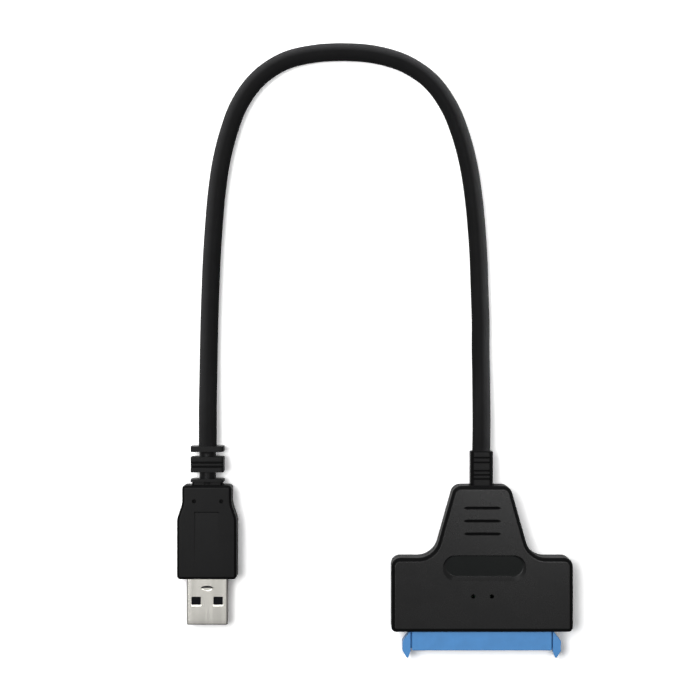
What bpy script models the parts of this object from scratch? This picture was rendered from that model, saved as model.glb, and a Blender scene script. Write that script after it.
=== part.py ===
"""USB to SATA adapter lead, lying flat on a table.

A wide moulded head carries a blue 22-way drive connector and the bridge board. A round lead leaves
the head's narrow end, turns in one loop and ends in a USB A plug beside the head. Metres, +Z up.
+Y points from the drive connector to the lead, and the origin is the bottom centre of the head.
"""

import math

import bmesh
import bpy
from mathutils import Vector

MM = 0.001

# Clearances
GAP = 0.3 * MM
CONTACT_FIT = 0.15 * MM
SHELL_FIT = 0.2 * MM
CUT_OVERRUN = 1.0 * MM

# Drive connector
CONTACT_PITCH = 1.27 * MM
SIGNAL_CONTACTS = 7
POWER_CONTACTS = 15
CONTACT_WIDTH = 0.56 * MM
CONTACT_THICKNESS = 0.25 * MM
CONTACT_CROWN = 0.75 * MM
CONTACT_CROWN_LENGTH = 0.6 * MM
CONTACT_NOSE_LENGTH = 1.1 * MM
CONTACT_NOSE_LIFT = 0.1 * MM
CONTACT_SETBACK = 1.0 * MM
CONTACT_TAIL = 2.0 * MM
CONTACT_CHANNEL = 1.0 * MM
TONGUE_END = 0.95 * MM
KEY_WALL = 0.63 * MM
KEY_WIDTH = 1.2 * MM
KEY_DROP = 1.6 * MM
TONGUE_SPACING = 2.4 * MM
TONGUE_THICKNESS = 1.25 * MM
TONGUE_DEPTH = 6.6 * MM
TONGUE_FIT = 0.18 * MM
TONGUE_RISE = 0.9 * MM
CONNECTOR_SIDE = 3.7 * MM
CONNECTOR_THICKNESS = 5.6 * MM
CONNECTOR_REACH = 5.6 * MM
CONNECTOR_DEPTH_INSIDE = 6.5 * MM
CONNECTOR_EDGE = 0.35 * MM
CONNECTOR_FLANGE = 0.9 * MM
CONNECTOR_FLANGE_LENGTH = 1.4 * MM
ARM_OVERREACH = 2.2 * MM
ARM_WIDTH = 2.7 * MM
ARM_THICKNESS = 4.4 * MM
ARM_LEAD_IN = 2.2 * MM
ARM_TIP_LENGTH = 2.5 * MM
ARM_TIP_WIDTH = 1.0 * MM
ARM_EDGE = 0.35 * MM

# Head housing
WALL = 1.6 * MM
BODY_SIDE = 6.0 * MM
CONNECTOR_ROOM = 0.4 * MM
BODY_LENGTH = 21.6 * MM
NECK_LENGTH = 20.9 * MM
NECK_TIP_WIDTH = 16.3 * MM
NECK_ROOT_WIDTH = 28.1 * MM
NECK_TIP_RADIUS = 1.8 * MM
NECK_FILLET_RADIUS = 5.8 * MM
SHOULDER_RADIUS = 2.6 * MM
FRONT_RADIUS = 1.0 * MM
RIM_RADIUS = 1.3 * MM
SEAM_CHAMFER = 0.15 * MM
LIP_THICKNESS = 0.7 * MM
LIP_HEIGHT = 0.9 * MM

# Marks in the top cover
GRIP_LENGTH = 10.7 * MM
GRIP_WIDTH = 0.9 * MM
GRIP_DEPTH = 0.35 * MM
GRIP_FIRST = 6.4 * MM
GRIP_PITCH = 3.75 * MM
GRIP_COUNT = 3
RECESS_MARGIN = 2.4 * MM
RECESS_WIDTH = 6.7 * MM
RECESS_DEPTH = 0.55 * MM
RECESS_SLOPE = 0.5 * MM
RECESS_RISE = 0.8 * MM
LAMP_HOLE_RADIUS = 0.65 * MM
LAMP_FROM_FRONT = 10.5 * MM
LAMP_SPACING = 5.4 * MM

# Sleeve where the lead enters the head
SLEEVE_LENGTH = 9.9 * MM
SLEEVE_WIDTH = 6.6 * MM
SLEEVE_THICKNESS = 6.2 * MM
SLEEVE_RADIUS = 1.3 * MM
SLEEVE_FLANGE = 1.7 * MM
SLEEVE_FLANGE_LENGTH = 1.6 * MM
SLEEVE_RAIL = 0.95 * MM
SLEEVE_SLOT_WIDTH = 0.45 * MM
SLEEVE_SLOT_DEPTH = 0.6 * MM
SLEEVE_SLOT_OFFSETS = (1.8 * MM, 3.2 * MM, 5.6 * MM, 6.8 * MM, 8.0 * MM)

# Board and what is soldered to it
BOARD_THICKNESS = 1.0 * MM
BOARD_MARGIN = 1.2 * MM
BOARD_NECK_LENGTH = 9.0 * MM
BOARD_CORNER = 1.0 * MM
BOARD_TAIL_GAP = 0.25 * MM
POST_RADIUS = 1.3 * MM
POST_INSET = 3.0 * MM
PART_SPACING = 1.2 * MM
CHIP_SIZE = 7.0 * MM
CHIP_THICKNESS = 0.9 * MM
MEMORY_LENGTH = 4.9 * MM
MEMORY_WIDTH = 3.9 * MM
MEMORY_THICKNESS = 1.5 * MM
MEMORY_LEG = 0.4 * MM
MEMORY_LEG_PITCH = 1.27 * MM
MEMORY_LEG_REACH = 1.0 * MM
MEMORY_LEGS = 4
CRYSTAL_LENGTH = 3.2 * MM
CRYSTAL_WIDTH = 2.5 * MM
CRYSTAL_THICKNESS = 0.7 * MM
INDUCTOR_SIZE = 4.0 * MM
INDUCTOR_THICKNESS = 2.0 * MM
INDUCTOR_CORNER = 0.5 * MM
REGULATOR_LENGTH = 4.5 * MM
REGULATOR_WIDTH = 2.5 * MM
REGULATOR_THICKNESS = 1.5 * MM
CAPACITOR_LENGTH = 3.2 * MM
CAPACITOR_WIDTH = 1.6 * MM
CAPACITOR_THICKNESS = 1.3 * MM
LAMP_LENGTH = 2.0 * MM
LAMP_WIDTH = 1.25 * MM
LAMP_THICKNESS = 0.8 * MM
PART_EDGE = 0.15 * MM
WIRE_RADIUS = 0.45 * MM
WIRE_PITCH = 1.9 * MM
WIRE_BUNDLE_PITCH = 1.05 * MM
WIRE_PAD_INSET = 2.4 * MM
WIRE_STEPS = 6

# Lead
CABLE_DIAMETER = 5.3 * MM
CABLE_LIFT = 0.05 * MM
CABLE_SPACING = 2.1

# USB A plug, measured from the front face of its moulding
PLUG_X = -80.1 * MM
PLUG_FRONT_Y = -7.2 * MM
PLUG_SIDE = 2.7 * MM
PLUG_SKIN = 1.75 * MM
PLUG_BODY_LENGTH = 17.6 * MM
PLUG_FLARE = 1.75 * MM
PLUG_FLARE_LENGTH = 4.4 * MM
PLUG_NECK_LENGTH = 5.4 * MM
PLUG_CORNER = 1.0 * MM
PLUG_FLARE_RADIUS = 2.6 * MM
PLUG_RIM = 1.0 * MM
PIN_MARK_RADIUS = 0.5 * MM
PIN_MARK_DEPTH = 0.6 * MM
PIN_MARK_SPACING = 8.0 * MM
PIN_MARK_BEHIND_FLARE = 0.8 * MM
THUMB_MARGIN = 4.4 * MM
THUMB_START = 3.4 * MM
THUMB_LENGTH = 16.1 * MM
THUMB_DEPTH = 0.25 * MM
RELIEF_SPINE = 5.3 * MM
RELIEF_WING = 2.15 * MM
RELIEF_THICKNESS = 6.0 * MM
RELIEF_EDGE = 0.6 * MM
RELIEF_ROOT_PLATE = 2.3 * MM
RELIEF_NOTCH = 1.38 * MM
RELIEF_MIDDLE_PLATE = 4.7 * MM
RELIEF_END_PLATE = 1.55 * MM
RELIEF_GROOVE = 0.55 * MM
RELIEF_GROOVE_DEPTH = 0.7 * MM
RELIEF_GROOVE_SPACING = 1.1 * MM
SHELL_WIDTH = 12.0 * MM
SHELL_THICKNESS = 4.5 * MM
SHELL_WALL = 0.3 * MM
SHELL_REACH = 13.4 * MM
SHELL_BURIED = 7.0 * MM
SHELL_CORNER = 0.65 * MM
SHELL_WINDOW_WIDTH = 2.75 * MM
SHELL_WINDOW_LENGTH = 2.45 * MM
SHELL_WINDOW_SPACING = 6.4 * MM
SHELL_WINDOW_START = 5.2 * MM
CRIMP_FROM_FRONT = 2.0 * MM
CRIMP_RADIUS = 2.6 * MM
CRIMP_WIDTH = 3.5 * MM
CRIMP_SLOT = 0.5 * MM
CRIMP_END_SHARE = 0.35
CRIMP_STEPS = 6
INSULATOR_FIT = 0.1 * MM
INSULATOR_REACH = 2.0 * MM
INSULATOR_SETBACK = 0.6 * MM
INSULATOR_TONGUE = 1.9 * MM
PAD_THICKNESS = 0.25 * MM
PAD_WIDTH = 1.1 * MM
PAD_LENGTH = 6.6 * MM
PAD_SETBACK = 0.9 * MM
PAD_OUTER_SPACING = 7.0 * MM
PAD_INNER_SPACING = 2.0 * MM
SPRING_WIDTH = 0.7 * MM
SPRING_LENGTH = 1.3 * MM
SPRING_HEIGHT = 0.55 * MM
SPRING_PITCH = 2.0 * MM
SPRING_COUNT = 5

# Places and sizes that follow
SIGNAL_TONGUE = TONGUE_END + (SIGNAL_CONTACTS - 1) * CONTACT_PITCH + KEY_WALL + KEY_WIDTH
POWER_TONGUE = TONGUE_END + (POWER_CONTACTS - 1) * CONTACT_PITCH + KEY_WALL + KEY_WIDTH
TONGUE_SPAN = SIGNAL_TONGUE + TONGUE_SPACING + POWER_TONGUE
CONNECTOR_WIDTH = TONGUE_SPAN + 2 * CONNECTOR_SIDE
ARM_REACH = CONNECTOR_REACH + ARM_OVERREACH
BODY_WIDTH = CONNECTOR_WIDTH + 2 * BODY_SIDE
HEAD_THICKNESS = CONNECTOR_THICKNESS + 2 * (WALL + CONNECTOR_ROOM)
HEAD_LENGTH = BODY_LENGTH + NECK_LENGTH
TOTAL_LENGTH = ARM_REACH + HEAD_LENGTH + SLEEVE_LENGTH
LIP_INSET = WALL - LIP_THICKNESS
FRONT_Y = ARM_REACH - TOTAL_LENGTH / 2
SHOULDER_Y = FRONT_Y + BODY_LENGTH
TIP_Y = FRONT_Y + HEAD_LENGTH
SLEEVE_END_Y = TIP_Y + SLEEVE_LENGTH
SLEEVE_START_Y = TIP_Y - WALL - GAP - SLEEVE_FLANGE_LENGTH
MID_Z = HEAD_THICKNESS / 2
MATING_Y = FRONT_Y - CONNECTOR_REACH
CONNECTOR_BACK_Y = FRONT_Y + CONNECTOR_DEPTH_INSIDE
SLOT_FLOOR_Z = MID_Z + TONGUE_RISE - TONGUE_THICKNESS / 2 - TONGUE_FIT
CHANNEL_FLOOR_Z = SLOT_FLOOR_Z - CONTACT_CHANNEL
BOARD_TOP_Z = CHANNEL_FLOOR_Z
CONTACT_Z = BOARD_TOP_Z + BOARD_TAIL_GAP + CONTACT_THICKNESS / 2
BOARD_FRONT_Y = CONNECTOR_BACK_Y + GAP
BOARD_SHOULDER_Y = SHOULDER_Y - WALL - BOARD_MARGIN
BOARD_END_Y = BOARD_SHOULDER_Y + BOARD_NECK_LENGTH
LAMP_Y = FRONT_Y + LAMP_FROM_FRONT
CABLE_RADIUS = CABLE_DIAMETER / 2
CABLE_REST_Z = CABLE_RADIUS + CABLE_LIFT
PLUG_WIDTH = SHELL_WIDTH + 2 * PLUG_SIDE
PLUG_THICKNESS = SHELL_THICKNESS + 2 * PLUG_SKIN
PLUG_NECK_WIDTH = PLUG_WIDTH - 2 * PLUG_FLARE
PLUG_Z = PLUG_THICKNESS / 2
PLUG_FLARE_END = PLUG_BODY_LENGTH + PLUG_FLARE_LENGTH
PLUG_NECK_END = PLUG_FLARE_END + PLUG_NECK_LENGTH
RELIEF_WIDTH = RELIEF_SPINE + 2 * RELIEF_WING
RELIEF_NOTCH_1 = PLUG_NECK_END + RELIEF_ROOT_PLATE
RELIEF_MIDDLE = RELIEF_NOTCH_1 + RELIEF_NOTCH
RELIEF_NOTCH_2 = RELIEF_MIDDLE + RELIEF_MIDDLE_PLATE
RELIEF_LAST = RELIEF_NOTCH_2 + RELIEF_NOTCH
RELIEF_END = RELIEF_LAST + RELIEF_END_PLATE
PLUG_END_Y = PLUG_FRONT_Y + RELIEF_END

ARC_STEPS = 4
RIM_STEPS = 4
MIN_RADIUS = 0.1 * MM
SMOOTH_ANGLE = math.radians(35)


def clear_scene():
    for obj in list(bpy.data.objects):
        bpy.data.objects.remove(obj, do_unlink=True)


def finish(name, colour, roughness, metallic=0.0):
    """A plain material with the piece's colour, roughness and metallic value."""
    material = bpy.data.materials.new(name)
    material.use_nodes = True
    shader = material.node_tree.nodes["Principled BSDF"]
    shader.inputs["Base Color"].default_value = (*colour, 1.0)
    shader.inputs["Roughness"].default_value = roughness
    shader.inputs["Metallic"].default_value = metallic
    material.diffuse_color = (*colour, 1.0)
    return material


def add_object(name, mesh, material=None, parent=None):
    obj = bpy.data.objects.new(name, mesh)
    bpy.context.collection.objects.link(obj)
    obj.parent = parent
    if material:
        mesh.materials.append(material)
    return obj


def mesh_from(name, shape):
    """Turns a finished bmesh into a mesh with its faces pointing out and its round parts smooth."""
    bmesh.ops.recalc_face_normals(shape, faces=shape.faces[:])
    mesh = bpy.data.meshes.new(name)
    shape.to_mesh(mesh)
    shape.free()
    mesh.shade_smooth()
    mesh.set_sharp_from_angle(angle=SMOOTH_ANGLE)
    return mesh


def inset_corners(corners, inset):
    """Moves every side of a counter-clockwise outline inwards and adjusts its corner radii."""
    moved = []
    count = len(corners)
    for i, (x, y, radius) in enumerate(corners):
        here = Vector((x, y))
        before = Vector(corners[i - 1][:2])
        after = Vector(corners[(i + 1) % count][:2])
        arriving = (here - before).normalized()
        leaving = (after - here).normalized()
        turn = arriving.cross(leaving)
        shift = (Vector((-arriving.y, arriving.x)) + Vector((-leaving.y, leaving.x))) * inset
        shift /= 1 + arriving.dot(leaving)
        kept = radius - inset if turn > 0 else radius + inset
        moved.append((x + shift.x, y + shift.y, max(kept, MIN_RADIUS)))
    return moved


def rounded(corners, steps=ARC_STEPS):
    """The points of an outline whose corners are arcs."""
    points = []
    count = len(corners)
    for i, (x, y, radius) in enumerate(corners):
        here = Vector((x, y))
        back = (Vector(corners[i - 1][:2]) - here).normalized()
        ahead = (Vector(corners[(i + 1) % count][:2]) - here).normalized()
        half = back.angle(ahead) / 2
        tangent = radius / math.tan(half)
        centre = here + (back + ahead).normalized() * (radius / math.sin(half))
        start = here + back * tangent - centre
        end = here + ahead * tangent - centre
        sweep = math.atan2(start.cross(end), start.dot(end))
        for step in range(steps + 1):
            angle = sweep * step / steps
            turned = Vector((
                start.x * math.cos(angle) - start.y * math.sin(angle),
                start.x * math.sin(angle) + start.y * math.cos(angle),
            ))
            points.append(centre + turned)
    return points


def rectangle(x0, y0, x1, y1, radius):
    return [(x0, y0, radius), (x1, y0, radius), (x1, y1, radius), (x0, y1, radius)]


def loft(name, layers):
    """A closed solid through equal loops of points, one loop for each layer."""
    shape = bmesh.new()
    rings = [[shape.verts.new(point) for point in layer] for layer in layers]
    for lower, upper in zip(rings, rings[1:]):
        count = len(lower)
        for i in range(count):
            j = (i + 1) % count
            shape.faces.new((lower[i], lower[j], upper[j], upper[i]))
    shape.faces.new(rings[0])
    shape.faces.new(rings[-1])
    return mesh_from(name, shape)


def flat_layer(corners, inset, z, steps=ARC_STEPS):
    return [(point.x, point.y, z) for point in rounded(inset_corners(corners, inset), steps)]


def prism(name, corners, low_z, high_z, steps=ARC_STEPS):
    return loft(name, [flat_layer(corners, 0, z, steps) for z in (low_z, high_z)])


def along_y(name, corners, start_y, end_y, steps=ARC_STEPS):
    """A bar along Y whose section is an outline in X and Z."""
    section = rounded(corners, steps)
    return loft(name, [[(p.x, y, p.y) for p in section] for y in (start_y, end_y)])


def rim_layers(corners, flat_z, side_z, radius):
    """Layers that turn from an upright side to a flat face through a quarter round."""
    layers = []
    for step in range(RIM_STEPS + 1):
        angle = math.pi / 2 * step / RIM_STEPS
        inset = radius * (1 - math.cos(angle))
        rise = radius * math.sin(angle) * (1 if flat_z > side_z else -1)
        layers.append(flat_layer(corners, inset, side_z + rise))
    return layers


def boxes(name, extents, edge=0):
    """Separate boxes in one mesh, each given by its lowest and highest corner."""
    shape = bmesh.new()
    for low, high in extents:
        made = bmesh.ops.create_cube(shape, size=1)["verts"]
        size = Vector(high) - Vector(low)
        bmesh.ops.scale(shape, vec=size, verts=made)
        bmesh.ops.translate(shape, vec=Vector(low) + size / 2, verts=made)
    if edge:
        bmesh.ops.bevel(shape, geom=shape.edges[:], offset=edge, segments=1, affect="EDGES")
    return mesh_from(name, shape)


def rods(name, centres, radius, low_z, high_z, segments=16):
    """Separate upright round rods in one mesh."""
    shape = bmesh.new()
    for x, y in centres:
        made = bmesh.ops.create_cone(
            shape, cap_ends=True, segments=segments, radius1=radius, radius2=radius, depth=high_z - low_z
        )["verts"]
        bmesh.ops.translate(shape, vec=(x, y, (low_z + high_z) / 2), verts=made)
    return mesh_from(name, shape)


def combine(obj, mesh, operation="DIFFERENCE"):
    """Cuts a hidden helper solid out of a piece, or joins it on."""
    helper = add_object(mesh.name, mesh, parent=obj.parent)
    helper.hide_render = True
    helper.display_type = "WIRE"
    modifier = obj.modifiers.new(mesh.name, "BOOLEAN")
    modifier.operation = operation
    modifier.solver = "EXACT"
    modifier.object = helper


def tube(name, points, radius, resolution, material):
    """A round cord through points, with filled ends."""
    curve = bpy.data.curves.new(name, "CURVE")
    curve.dimensions = "3D"
    curve.bevel_depth = radius
    curve.bevel_resolution = resolution
    curve.use_fill_caps = True
    spline = curve.splines.new("POLY")
    spline.points.add(len(points) - 1)
    for knot, point in zip(spline.points, points):
        knot.co = (*point, 1.0)
    return add_object(name, curve, material)


def smooth_path(route, spacing):
    """Evenly spaced points on a smooth curve that passes through every point of a route."""
    knots = [Vector(point) for point in route]
    knots = [2 * knots[0] - knots[1], *knots, 2 * knots[-1] - knots[-2]]
    fine = []
    for p0, p1, p2, p3 in zip(knots, knots[1:], knots[2:], knots[3:]):
        for step in range(12):
            t = step / 12
            fine.append(0.5 * (
                2 * p1
                + (p2 - p0) * t
                + (2 * p0 - 5 * p1 + 4 * p2 - p3) * t ** 2
                + (3 * p1 - p0 - 3 * p2 + p3) * t ** 3
            ))
    fine.append(knots[-2])
    lengths = [0.0]
    for a, b in zip(fine, fine[1:]):
        lengths.append(lengths[-1] + (b - a).length)
    count = round(lengths[-1] / spacing)
    path = []
    for i in range(count + 1):
        target = lengths[-1] * i / count
        k = next((n for n in range(1, len(fine)) if lengths[n] >= target - 1e-9), len(fine) - 1)
        share = (target - lengths[k - 1]) / (lengths[k] - lengths[k - 1])
        path.append(fine[k - 1].lerp(fine[k], share))
    return path


def head_corners():
    """The head's outline, seen from above, counter-clockwise from its front left corner."""
    half_body = BODY_WIDTH / 2
    half_root = NECK_ROOT_WIDTH / 2
    half_tip = NECK_TIP_WIDTH / 2
    return [
        (-half_body, FRONT_Y, FRONT_RADIUS),
        (half_body, FRONT_Y, FRONT_RADIUS),
        (half_body, SHOULDER_Y, SHOULDER_RADIUS),
        (half_root, SHOULDER_Y, NECK_FILLET_RADIUS),
        (half_tip, TIP_Y, NECK_TIP_RADIUS),
        (-half_tip, TIP_Y, NECK_TIP_RADIUS),
        (-half_root, SHOULDER_Y, NECK_FILLET_RADIUS),
        (-half_body, SHOULDER_Y, SHOULDER_RADIUS),
    ]


def sleeve_section(clearance=0):
    """The sleeve's section in X and Z, grown by a clearance."""
    half_x = SLEEVE_WIDTH / 2 + clearance
    half_z = SLEEVE_THICKNESS / 2 + clearance
    return rectangle(-half_x, MID_Z - half_z, half_x, MID_Z + half_z, SLEEVE_RADIUS + clearance)


def lamp_centres():
    return [(-LAMP_SPACING / 2, LAMP_Y), (LAMP_SPACING / 2, LAMP_Y)]


def cut_head_openings(cover, name):
    """Opens the front for the drive connector and the tip for the sleeve."""
    half_x = CONNECTOR_WIDTH / 2 + GAP
    half_z = CONNECTOR_THICKNESS / 2 + GAP
    front = boxes(name + "_front_opening", [(
        (-half_x, FRONT_Y - CUT_OVERRUN, MID_Z - half_z),
        (half_x, FRONT_Y + WALL + CUT_OVERRUN, MID_Z + half_z),
    )])
    combine(cover, front)
    tip = along_y(
        name + "_tip_opening", sleeve_section(GAP), TIP_Y - WALL - CUT_OVERRUN, TIP_Y + CUT_OVERRUN
    )
    combine(cover, tip)


def add_top_cover(material):
    """The upper half of the housing, with the grips, the bare recess and the two lamp holes."""
    corners = head_corners()
    seam_z = MID_Z + GAP / 2
    side_z = HEAD_THICKNESS - RIM_RADIUS
    layers = [flat_layer(corners, SEAM_CHAMFER, seam_z), flat_layer(corners, 0, seam_z + SEAM_CHAMFER)]
    layers += rim_layers(corners, HEAD_THICKNESS, side_z, RIM_RADIUS)
    cover = add_object("head_top_cover", loft("head_top_cover", layers), material)

    roof_z = HEAD_THICKNESS - WALL
    inner = inset_corners(corners, WALL)
    combine(cover, prism("top_cavity", inner, seam_z - CUT_OVERRUN, roof_z))
    rebate = inset_corners(corners, LIP_INSET - GAP)
    combine(cover, prism("top_rebate", rebate, seam_z - CUT_OVERRUN, MID_Z + LIP_HEIGHT + GAP))
    cut_head_openings(cover, "top")

    half_x = NECK_ROOT_WIDTH / 2 - RECESS_MARGIN
    recess_top = SHOULDER_Y + RECESS_RISE
    outline = rectangle(
        -half_x, recess_top - RECESS_WIDTH, half_x, recess_top, RECESS_WIDTH / 2 - MIN_RADIUS
    )
    floor_z = HEAD_THICKNESS - RECESS_DEPTH
    recess = loft("recess", [
        flat_layer(outline, RECESS_SLOPE, floor_z),
        flat_layer(outline, 0, HEAD_THICKNESS),
        flat_layer(outline, 0, HEAD_THICKNESS + CUT_OVERRUN),
    ])
    combine(cover, recess)
    holes = rods("lamp_holes", lamp_centres(), LAMP_HOLE_RADIUS, roof_z - CUT_OVERRUN,
                 HEAD_THICKNESS + CUT_OVERRUN)
    combine(cover, holes)

    for i in range(GRIP_COUNT):
        y = TIP_Y - GRIP_FIRST - i * GRIP_PITCH
        combine(cover, grip_cutter(f"grip_{i + 1}", y))


def grip_cutter(name, y):
    """A shallow boat-shaped groove across the neck, pointed at both ends."""
    half = GRIP_LENGTH / 2
    taper = GRIP_WIDTH
    layers = []
    for x, share in ((-half, 0.1), (-half + taper, 1.0), (half - taper, 1.0), (half, 0.1)):
        side = GRIP_WIDTH / 2 * share
        low = GRIP_DEPTH * share
        layers.append([
            (x, y - side, HEAD_THICKNESS),
            (x, y - side / 2, HEAD_THICKNESS - low),
            (x, y + side / 2, HEAD_THICKNESS - low),
            (x, y + side, HEAD_THICKNESS),
            (x, y + side, HEAD_THICKNESS + CUT_OVERRUN),
            (x, y - side, HEAD_THICKNESS + CUT_OVERRUN),
        ])
    return loft(name, layers)


def add_bottom_cover(material):
    """The lower half of the housing, with the locating lip and four posts under the board."""
    corners = head_corners()
    seam_z = MID_Z - GAP / 2
    layers = rim_layers(corners, 0, RIM_RADIUS, RIM_RADIUS)[::-1]
    layers += [flat_layer(corners, 0, seam_z - SEAM_CHAMFER), flat_layer(corners, SEAM_CHAMFER, seam_z)]
    cover = add_object("head_bottom_cover", loft("head_bottom_cover", layers), material)

    lip = inset_corners(corners, LIP_INSET)
    combine(cover, prism("lip", lip, seam_z - CUT_OVERRUN, MID_Z + LIP_HEIGHT), "UNION")
    inner = inset_corners(corners, WALL)
    combine(cover, prism("bottom_cavity", inner, WALL, MID_Z + LIP_HEIGHT + CUT_OVERRUN))
    half = BODY_WIDTH / 2 - WALL - BOARD_MARGIN - POST_INSET
    places = [(x, y) for x in (-half, half)
              for y in (BOARD_FRONT_Y + POST_INSET, BOARD_SHOULDER_Y - POST_INSET)]
    top_z = BOARD_TOP_Z - BOARD_THICKNESS - GAP
    combine(cover, rods("posts", places, POST_RADIUS, WALL / 2, top_z, 12), "UNION")
    cut_head_openings(cover, "bottom")


def add_sleeve(material):
    """The short square sleeve round the lead, held by a flange behind the neck's wall."""
    mesh = along_y("head_strain_relief", sleeve_section(), SLEEVE_START_Y, SLEEVE_END_Y)
    sleeve = add_object("head_strain_relief", mesh, material)
    half_x = SLEEVE_WIDTH / 2 + SLEEVE_FLANGE
    half_z = HEAD_THICKNESS / 2 - WALL - GAP
    flange = boxes("sleeve_flange", [(
        (-half_x, SLEEVE_START_Y - GAP, MID_Z - half_z),
        (half_x, SLEEVE_START_Y + SLEEVE_FLANGE_LENGTH, MID_Z + half_z),
    )])
    combine(sleeve, flange, "UNION")
    half_slot = SLEEVE_WIDTH / 2 - SLEEVE_RAIL
    extents = []
    for offset in SLEEVE_SLOT_OFFSETS:
        y = SLEEVE_END_Y - offset
        for side in (-1, 1):
            near = MID_Z + side * (SLEEVE_THICKNESS / 2 - SLEEVE_SLOT_DEPTH)
            far = MID_Z + side * (SLEEVE_THICKNESS / 2 + CUT_OVERRUN)
            extents.append((
                (-half_slot, y - SLEEVE_SLOT_WIDTH / 2, min(near, far)),
                (half_slot, y + SLEEVE_SLOT_WIDTH / 2, max(near, far)),
            ))
    combine(sleeve, boxes("sleeve_slots", extents))


def contact_places():
    """The X of every contact: the signal group on the left, the power group on the right."""
    signal = -TONGUE_SPAN / 2 + TONGUE_END
    power = TONGUE_SPAN / 2 - TONGUE_END
    places = [("signal", i + 1, signal + i * CONTACT_PITCH) for i in range(SIGNAL_CONTACTS)]
    places += [
        ("power", i + 1, power - (POWER_CONTACTS - 1 - i) * CONTACT_PITCH) for i in range(POWER_CONTACTS)
    ]
    return places


def arm_loop(side, inset):
    """One guide arm seen from above: out along a slope, straight on, and in to a blunt tip."""
    flank = CONNECTOR_WIDTH / 2
    root = flank - 2 * CONNECTOR_EDGE
    outer = flank + ARM_WIDTH - inset
    tip = flank + ARM_TIP_WIDTH / 2
    start = FRONT_Y - GAP - inset
    end = FRONT_Y - ARM_REACH + inset
    loop = [
        (root, start),
        (flank, start),
        (outer, FRONT_Y - ARM_LEAD_IN),
        (outer, end + ARM_TIP_LENGTH),
        (tip + ARM_TIP_WIDTH / 2, end),
        (tip - ARM_TIP_WIDTH / 2, end),
        (flank - ARM_TIP_WIDTH / 2, MATING_Y + ARM_EDGE),
        (root, MATING_Y + 2 * CONNECTOR_EDGE),
    ]
    return [(side * x, y) for x, y in loop]


def add_arm(connector, name, side):
    half = ARM_THICKNESS / 2
    layers = []
    for inset, z in ((ARM_EDGE, -half), (0, ARM_EDGE - half), (0, half - ARM_EDGE), (ARM_EDGE, half)):
        layers.append([(x, y, MID_Z + z) for x, y in arm_loop(side, inset)])
    combine(connector, loft(name, layers), "UNION")


def key_slot(name, outer_x, key_x, deepest):
    """An L-shaped slot for one tongue: the flat of the L, and its key at the inner end."""
    low = SLOT_FLOOR_Z
    high = SLOT_FLOOR_Z + TONGUE_THICKNESS + 2 * TONGUE_FIT
    key_low = low - KEY_DROP
    side = 1 if key_x > outer_x else -1
    inner = key_x - side * (KEY_WIDTH + 2 * TONGUE_FIT)
    loop = [
        (outer_x, low),
        (inner, low),
        (inner, key_low),
        (key_x, key_low),
        (key_x, high),
        (outer_x, high),
    ]
    return loft(name, [[(x, y, z) for x, z in loop] for y in (MATING_Y - CUT_OVERRUN, deepest)])


def add_connector(material):
    """The blue moulding: a block with two keyed slots, a flange behind the wall and two guide arms."""
    half_x = CONNECTOR_WIDTH / 2
    half_z = CONNECTOR_THICKNESS / 2
    block = boxes(
        "sata_connector_body",
        [((-half_x, MATING_Y, MID_Z - half_z), (half_x, CONNECTOR_BACK_Y, MID_Z + half_z))],
        CONNECTOR_EDGE,
    )
    connector = add_object("sata_connector_body", block, material)
    behind = FRONT_Y + WALL + GAP
    flange = boxes("connector_flange", [(
        (-half_x - CONNECTOR_FLANGE, behind, MID_Z - half_z + CONNECTOR_EDGE),
        (half_x + CONNECTOR_FLANGE, behind + CONNECTOR_FLANGE_LENGTH, MID_Z + half_z - CONNECTOR_EDGE),
    )])
    combine(connector, flange, "UNION")
    add_arm(connector, "left_arm", -1)
    add_arm(connector, "right_arm", 1)

    deepest = MATING_Y + TONGUE_DEPTH
    outer = TONGUE_SPAN / 2 + TONGUE_FIT
    signal_inner = -TONGUE_SPAN / 2 + SIGNAL_TONGUE + TONGUE_FIT
    power_inner = TONGUE_SPAN / 2 - POWER_TONGUE - TONGUE_FIT
    combine(connector, key_slot("signal_slot", -outer, signal_inner, deepest))
    combine(connector, key_slot("power_slot", outer, power_inner, deepest))
    half = CONTACT_WIDTH / 2 + CONTACT_FIT
    channels = [
        (
            (x - half, MATING_Y + CONTACT_SETBACK - CONTACT_FIT, CHANNEL_FLOOR_Z),
            (x + half, CONNECTOR_BACK_Y + CUT_OVERRUN, SLOT_FLOOR_Z + TONGUE_FIT / 2),
        )
        for _, _, x in contact_places()
    ]
    combine(connector, boxes("contact_channels", channels))


def contact_mesh():
    """A spring contact: a flat tail over the board, a straight run, and a crowned nose in the slot."""
    nose_y = MATING_Y + CONTACT_SETBACK
    crown_y = nose_y + CONTACT_NOSE_LENGTH
    crown_z = CONTACT_Z + CONTACT_CROWN
    spine = [
        (BOARD_FRONT_Y + CONTACT_TAIL, CONTACT_Z),
        (MATING_Y + TONGUE_DEPTH - GAP, CONTACT_Z),
        (crown_y + CONTACT_CROWN_LENGTH, crown_z),
        (crown_y, crown_z),
        (nose_y, CONTACT_Z + CONTACT_NOSE_LIFT),
    ]
    half = CONTACT_THICKNESS / 2
    upper = []
    lower = []
    for i, (y, z) in enumerate(spine):
        y0, z0 = spine[max(i - 1, 0)]
        y1, z1 = spine[min(i + 1, len(spine) - 1)]
        along = Vector((y1 - y0, z1 - z0)).normalized()
        upper.append((y - along.y * half, z + along.x * half))
        lower.append((y + along.y * half, z - along.x * half))
    section = upper + lower[::-1]
    half_x = CONTACT_WIDTH / 2
    return loft("contact", [[(x, y, z) for y, z in section] for x in (-half_x, half_x)])


def add_contacts(material):
    mesh = contact_mesh()
    mesh.materials.append(material)
    for group, number, x in contact_places():
        contact = add_object(f"{group}_contact_{number:02d}", mesh)
        contact.location.x = x


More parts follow.
